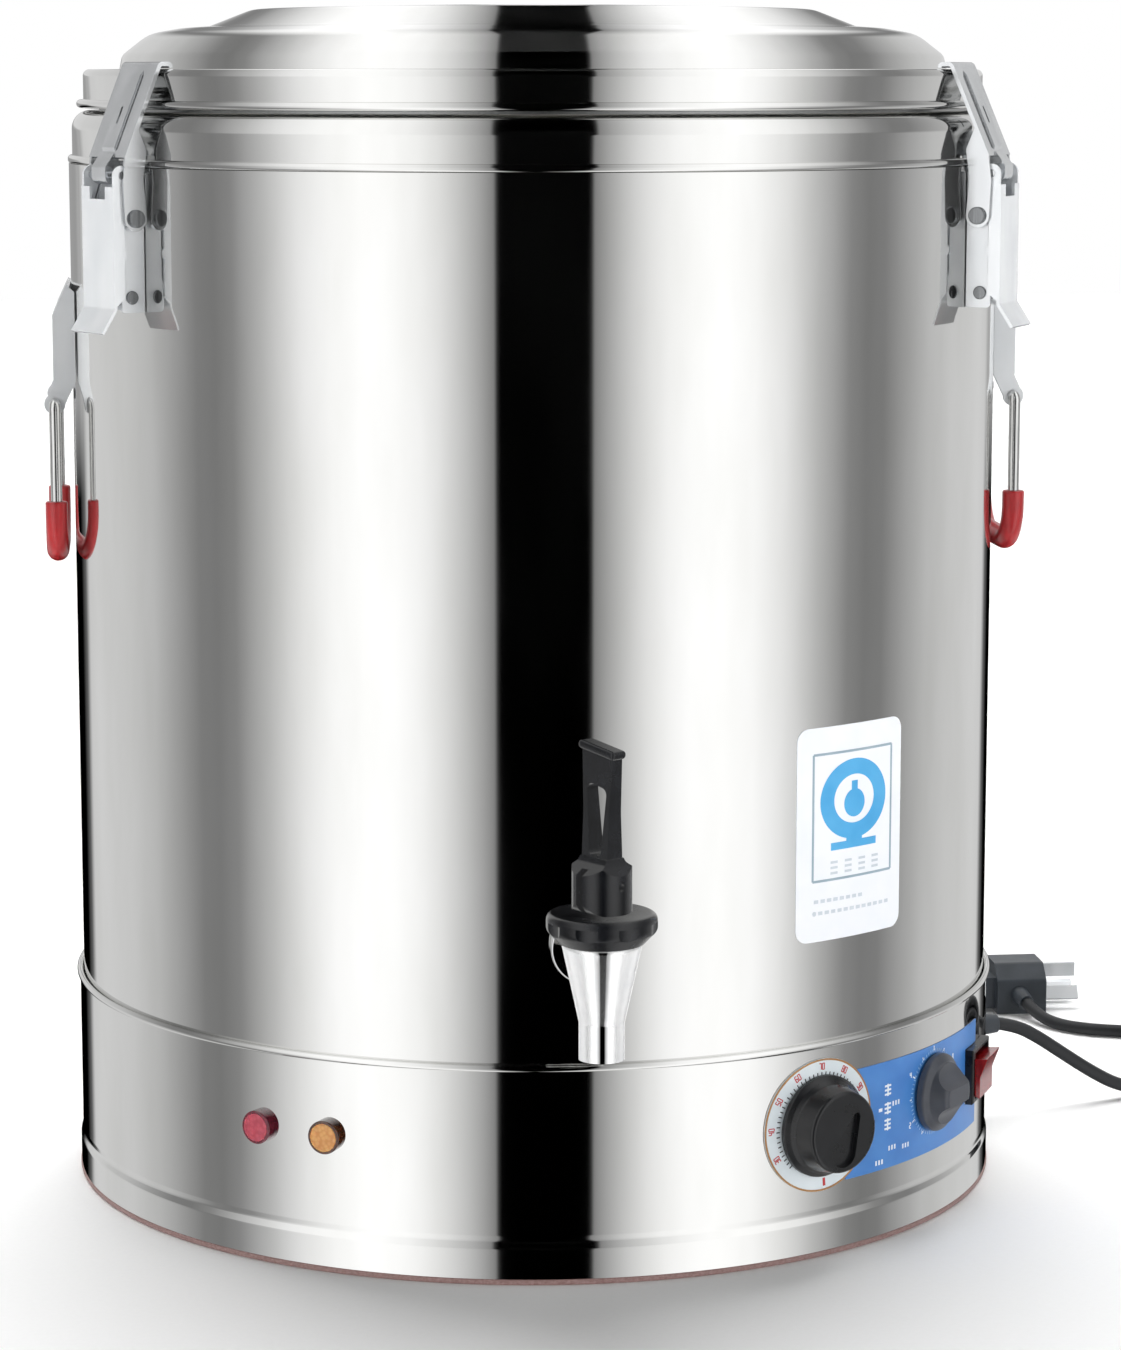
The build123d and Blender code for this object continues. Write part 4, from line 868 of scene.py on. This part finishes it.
# ---------------------------------------------------------------- plug
def plug():
    """The moulded plug, its blades plated instead of black."""
    blade_length = 16.5
    piece = softened("plug", 0.8, plug_black, segments=3)
    blades_start = max(v.co.x for v in piece.data.vertices) - blade_length * MM
    piece.data.materials.append(plated)
    for face in piece.data.polygons:
        if face.center.x > blades_start:
            face.material_index = 1


plug()


# ---------------------------------------------------------------- cord
coil_centre = (312.3, 96.8)


def coil_turns():
    """Turns wound inwards on the floor, outwards on those, once on top, then off over the side."""
    floor, lift = 2.75, 4.85    # the lowest turn's middle, and from one layer to the next
    start_angle, all_turns, points_a_turn = -75.7, 6.41, 16
    # turns so far, distance from the coil's middle, height
    stations = [
        (0.0, 36.6, floor), (0.8, 36.6, floor), (1.0, 34, floor), (1.2, 31, floor),
        (1.8, 31, floor), (2.0, 28, floor), (2.2, 25.4, floor), (2.75, 25.4, floor),
        (3.0, 26.6, floor + 2.4), (3.2, 28.2, floor + lift), (3.8, 28.2, floor + lift),
        (4.0, 31, floor + lift + 0.3), (4.2, 33.8, floor + lift), (4.75, 33.8, floor + lift),
        (5.0, 32.4, floor + 1.6 * lift), (5.2, 31, floor + 2 * lift), (5.9, 31, floor + 2 * lift),
        (6.05, 33.8, floor + 2.2 * lift), (6.2, 37.4, floor + 1.9 * lift), (6.3, 40, floor + lift),
        (all_turns, 42.3, floor),
    ]
    turns = []
    for k in range(round(all_turns * points_a_turn)):
        t = k / points_a_turn
        after = next(i for i, s in enumerate(stations) if s[0] > t)
        (t0, r0, z0), (t1, r1, z1) = stations[after - 1], stations[after]
        share = (t - t0) / (t1 - t0)
        angle = radians(start_angle + 360 * t)
        out = r0 + (r1 - r0) * share
        turns.append((
            coil_centre[0] + out * cos(angle), coil_centre[1] + out * sin(angle),
            z0 + (z1 - z0) * share,
        ))
    return turns


def cord():
    """The mains cord from the skirt's gland down to its coil on the floor, and on to the plug."""
    lead = [
        (198.44, 34.99, 37.5), (206.8, 36.5, 35.9), (216.4, 38.2, 30.7), (228.3, 41.3, 22.3),
        (241.3, 45.0, 13.3), (254.0, 48.0, 5.9), (267.5, 51.6, 3.0), (284.0, 55.3, 2.8),
        (302.5, 57.8, 2.8),
    ]
    tail = [
        (322.0, 138.4, 2.8), (304.0, 143.0, 2.8), (285.0, 150.5, 2.8), (267.5, 156.5, 2.8),
        (256.0, 167.5, 2.8), (250.5, 180.0, 4.2), (248.0, 191.5, 7.0),
    ]
    points = lead + coil_turns() + tail
    curve = bpy.data.curves.new("mains_cord", "CURVE")
    curve.dimensions = "3D"
    curve.bevel_depth = cord_diameter / 2 * MM
    curve.bevel_resolution = 6
    curve.use_fill_caps = True
    spline = curve.splines.new("NURBS")
    spline.points.add(len(points) - 1)
    for control, point in zip(spline.points, points):
        control.co = (*[c * MM for c in point], 1)
    spline.order_u = 3
    spline.use_endpoint_u = True
    spline.resolution_u = 8
    piece = bpy.data.objects.new("mains_cord", curve)
    bpy.context.scene.collection.objects.link(piece)
    piece.data.materials.append(cord_black)
    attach(piece, "urn")
    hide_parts("cord_lead", "cord_coil", "cord_tail")


cord()


# ---------------------------------------------------------------- studio
def studio_world():
    """Plain white to the eye. Polished metal sees the room: a dark doorway straight ahead of the
    urn, a broad light each side of it, and walls that are dim at the sides, paler further round
    and dark right behind. Matt pieces are lit by a low band of light all round and by more from
    high up behind."""
    doorway, lid_bearing = radians(-3.2), radians(-5.8)
    world = bpy.data.worlds.new("studio")
    bpy.context.scene.world = world
    world.use_nodes = True
    tree = world.node_tree
    tree.nodes.clear()
    ray = add(tree, "ShaderNodeTexCoord").outputs["Generated"]
    flat = add(
        tree, "ShaderNodeVectorMath", {0: ray, 1: (1, 1, 0)}, operation="MULTIPLY"
    ).outputs["Vector"]
    level = add(tree, "ShaderNodeVectorMath", {0: flat}, operation="NORMALIZE").outputs["Vector"]
    directions = {
        "ahead": (level, (sin(doorway), -cos(doorway), 0)),
        "up": (ray, (0, 0, 1)),
        "to_lid": (ray, (sin(lid_bearing), -cos(lid_bearing), 0)),
        "past_lid": (ray, (cos(lid_bearing), sin(lid_bearing), 0)),
    }
    found = {
        name: add(
            tree, "ShaderNodeVectorMath", {0: way, 1: axis}, operation="DOT_PRODUCT"
        ).outputs["Value"]
        for name, (way, axis) in directions.items()
    }

    # the lid and rim lean back, so their rays rise: the same walls are laid out for them by the
    # lean of the metal that sends a ray there, and its place round the lid. A row holds the name of
    # what it finds, the operation, and what goes into it. The middle rows run twice to settle.
    rim_bend, lean_to_girth, least_girth, most_girth, widening = 0.045, 1.5, 0.68, 0.92, 2.1
    opening = (
        ("around", "ARCCOSINE", "ahead"),
        ("nearness", "ADD", "to_lid", 1.0),
        ("toward", "MAXIMUM", "nearness", 0.001),
        ("half_toward", "MULTIPLY", "toward", 0.5),
        ("aside", "DIVIDE", "past_lid", "toward"),
        ("turn", "DIVIDE", "past_lid", "toward"),
    )
    settling = (
        ("square", "MULTIPLY_ADD", "turn", "turn", 1.0),
        ("width", "SQRT", "square"),
        ("lean", "MULTIPLY", "square", "half_toward"),
        ("bend", "MULTIPLY", "width", rim_bend),
        ("bend", "DIVIDE", "bend", "lean"),
        ("bend", "ADD", "bend", 1.0),
        ("turn", "DIVIDE", "aside", "bend"),
    )
    closing = (
        ("square", "MULTIPLY_ADD", "turn", "turn", 1.0),
        ("width", "SQRT", "square"),
        ("place", "DIVIDE", "turn", "width"),
        ("girth", "MULTIPLY_ADD", "lean", lean_to_girth, 0.5),
        ("girth", "MINIMUM", "girth", most_girth),
        ("girth", "MAXIMUM", "girth", least_girth),
        ("bearing", "MULTIPLY", "place", "girth"),
        ("bearing", "ARCSINE", "bearing"),
        ("bearing", "MULTIPLY", "bearing", widening),
        ("bearing", "ADD", "bearing", lid_bearing - doorway),
        ("above", "ABSOLUTE", "bearing"),
    )
    for name, operation, *values in (*opening, *settling, *settling, *closing):
        sockets = {i: found.get(value, value) for i, value in enumerate(values)}
        found[name] = add(tree, "ShaderNodeMath", sockets, operation=operation).outputs["Value"]

    # each share runs from nothing to one between two values of what it follows
    band_top, high_foot = sin(radians(18)), sin(radians(44))
    shares = {
        "lifted": ("up", -0.025, 0.0583),
        "raised": ("up", -0.1075, -0.0825),
        "low": ("up", band_top + 0.025, band_top - 0.025),
        "behind": ("ahead", -0.55, -0.675),
        "steep": ("up", high_foot - 0.1, high_foot + 0.1),
    }
    for name, (followed, nothing, one) in shares.items():
        slope = 1 / (one - nothing)
        found[name] = add(
            tree, "ShaderNodeMath", {0: found[followed], 1: slope, 2: -nothing * slope},
            operation="MULTIPLY_ADD", use_clamp=True,
        ).outputs["Value"]

    # what polished metal sees: the walls, by their angle from the doorway
    angle = add(
        tree, "ShaderNodeMix", {0: found["lifted"], 2: found["around"], 3: found["above"]}
    ).outputs[0]
    half_turn = add(tree, "ShaderNodeMath", {0: angle, 1: pi}, operation="DIVIDE").outputs["Value"]
    # degrees from the doorway, and how bright the wall is there
    wall_levels = [
        (0, 0.0), (11.2, 0.0), (11.6, 0.2), (15, 0.35), (20, 0.55), (25, 0.74), (30, 0.88),
        (36, 0.97), (44, 1.0), (52, 0.93), (60, 0.76), (70, 0.46), (80, 0.22), (86, 0.175),
        (92, 0.19), (100, 0.31), (110, 0.45), (122, 0.53), (142, 0.56), (149, 0.52), (153, 0.1),
        (158, 0.0), (180, 0.0),
    ]
    walls = add(
        tree, "ShaderNodeValToRGB", {"Fac": half_turn},
        [(degrees / 180, (value, value, value, 1)) for degrees, value in wall_levels],
    )
    # right behind the urn the room is dark near the floor and dim higher up
    far_from, far_fade, far_level = 149, 5, 0.27
    far = add(
        tree, "ShaderNodeMath", {0: half_turn, 1: 180 / far_fade, 2: -far_from / far_fade},
        operation="MULTIPLY_ADD", use_clamp=True,
    ).outputs["Value"]
    far_and_raised = add(
        tree, "ShaderNodeMath", {0: far, 1: found["raised"]}, operation="MULTIPLY"
    ).outputs["Value"]
    room = add(
        tree, "ShaderNodeMath", {0: far_and_raised, 1: far_level, 2: walls.outputs["Color"]},
        operation="MULTIPLY_ADD",
    ).outputs["Value"]

    wall_strength = 1.28
    reflected = add(tree, "ShaderNodeBackground", {"Color": room, "Strength": wall_strength})

    # what lights matt pieces: a low band all round, and a high lamp behind
    band_strength, high_strength, dim_strength = 1.8, 7.2, 0.02
    high_and_behind = add(
        tree, "ShaderNodeMath", {0: found["behind"], 1: found["steep"]}, operation="MULTIPLY"
    ).outputs["Value"]
    high = add(
        tree, "ShaderNodeMath", {0: high_and_behind, 1: high_strength, 2: dim_strength},
        operation="MULTIPLY_ADD",
    ).outputs["Value"]
    diffuse = add(tree, "ShaderNodeMix", {0: found["low"], 2: high, 3: band_strength}).outputs[0]
    white = (1, 1, 1, 1)
    soft = add(tree, "ShaderNodeBackground", {"Color": white, "Strength": diffuse})
    seen = add(tree, "ShaderNodeBackground", {"Color": white, "Strength": 1.0})
    light = add(tree, "ShaderNodeLightPath")
    metal = add(
        tree, "ShaderNodeMixShader",
        {0: light.outputs["Is Glossy Ray"], 1: soft.outputs[0], 2: reflected.outputs[0]},
    )
    eye = add(
        tree, "ShaderNodeMixShader",
        {0: light.outputs["Is Camera Ray"], 1: metal.outputs[0], 2: seen.outputs[0]},
    )
    add(tree, "ShaderNodeOutputWorld", {"Surface": eye.outputs[0]})


def studio_floor():
    """White seamless paper: matt, with a faint fibre."""
    material, tree, shader = surface("seamless_paper", Roughness=0.9, Specular_IOR_Level=0.1)
    fibre = grain(tree, 2.0, detail=2.0)
    colour = add(
        tree, "ShaderNodeValToRGB", {"Fac": fibre},
        [(pattern_low, srgb("#FDFDFD")), (pattern_high, srgb("#FFFFFF"))],
    )
    tree.links.new(colour.outputs["Color"], shader.inputs["Base Color"])
    half_m = 6.0
    corners = [(x * half_m, y * half_m, 0) for x, y in ((-1, -1), (1, -1), (1, 1), (-1, 1))]
    mesh = bpy.data.meshes.new("floor")
    mesh.from_pydata(corners, [], [(0, 1, 2, 3)])
    floor = bpy.data.objects.new("floor", mesh)
    bpy.context.scene.collection.objects.link(floor)
    paint(floor, material)
    floor.visible_glossy = False


def softbox(name, azimuth, watts):
    """A broad lamp that lights the matt pieces. The metal doesn't see it."""
    distance_m, height_m, size_m, aim = 2.2, 0.6, (1.2, 0.8), Vector((0, 0, 0.2))
    lamp = bpy.data.lights.new(name, "AREA")
    lamp.shape = "RECTANGLE"
    lamp.size, lamp.size_y = size_m
    lamp.energy = watts
    holder = bpy.data.objects.new(name, lamp)
    a = radians(azimuth)
    spot = Vector((distance_m * sin(a), -distance_m * cos(a), height_m))
    holder.location = spot
    holder.rotation_euler = (aim - spot).to_track_quat("-Z", "Y").to_euler()
    holder.visible_glossy = False
    bpy.context.scene.collection.objects.link(holder)


def camera():
    """The eye a little above the rim, left of the tap, tipped slightly down."""
    spot_m, tilt, bearing = (-0.15381, -1.51465, 0.4308), 0.15433, radians(-6.2)
    eye = bpy.data.cameras.new("camera")
    eye.sensor_fit = "VERTICAL"
    eye.sensor_height = 36
    eye.lens = 103.06
    holder = bpy.data.objects.new("camera", eye)
    holder.location = spot_m
    holder.rotation_euler = (pi / 2 - tilt, 0, bearing)
    bpy.context.scene.collection.objects.link(holder)
    bpy.context.scene.camera = holder


studio_world()
studio_floor()
softbox("left_softbox", -45, 8)
softbox("right_softbox", 45, 6.7)
camera()
bpy.context.scene.view_settings.view_transform = "Standard"
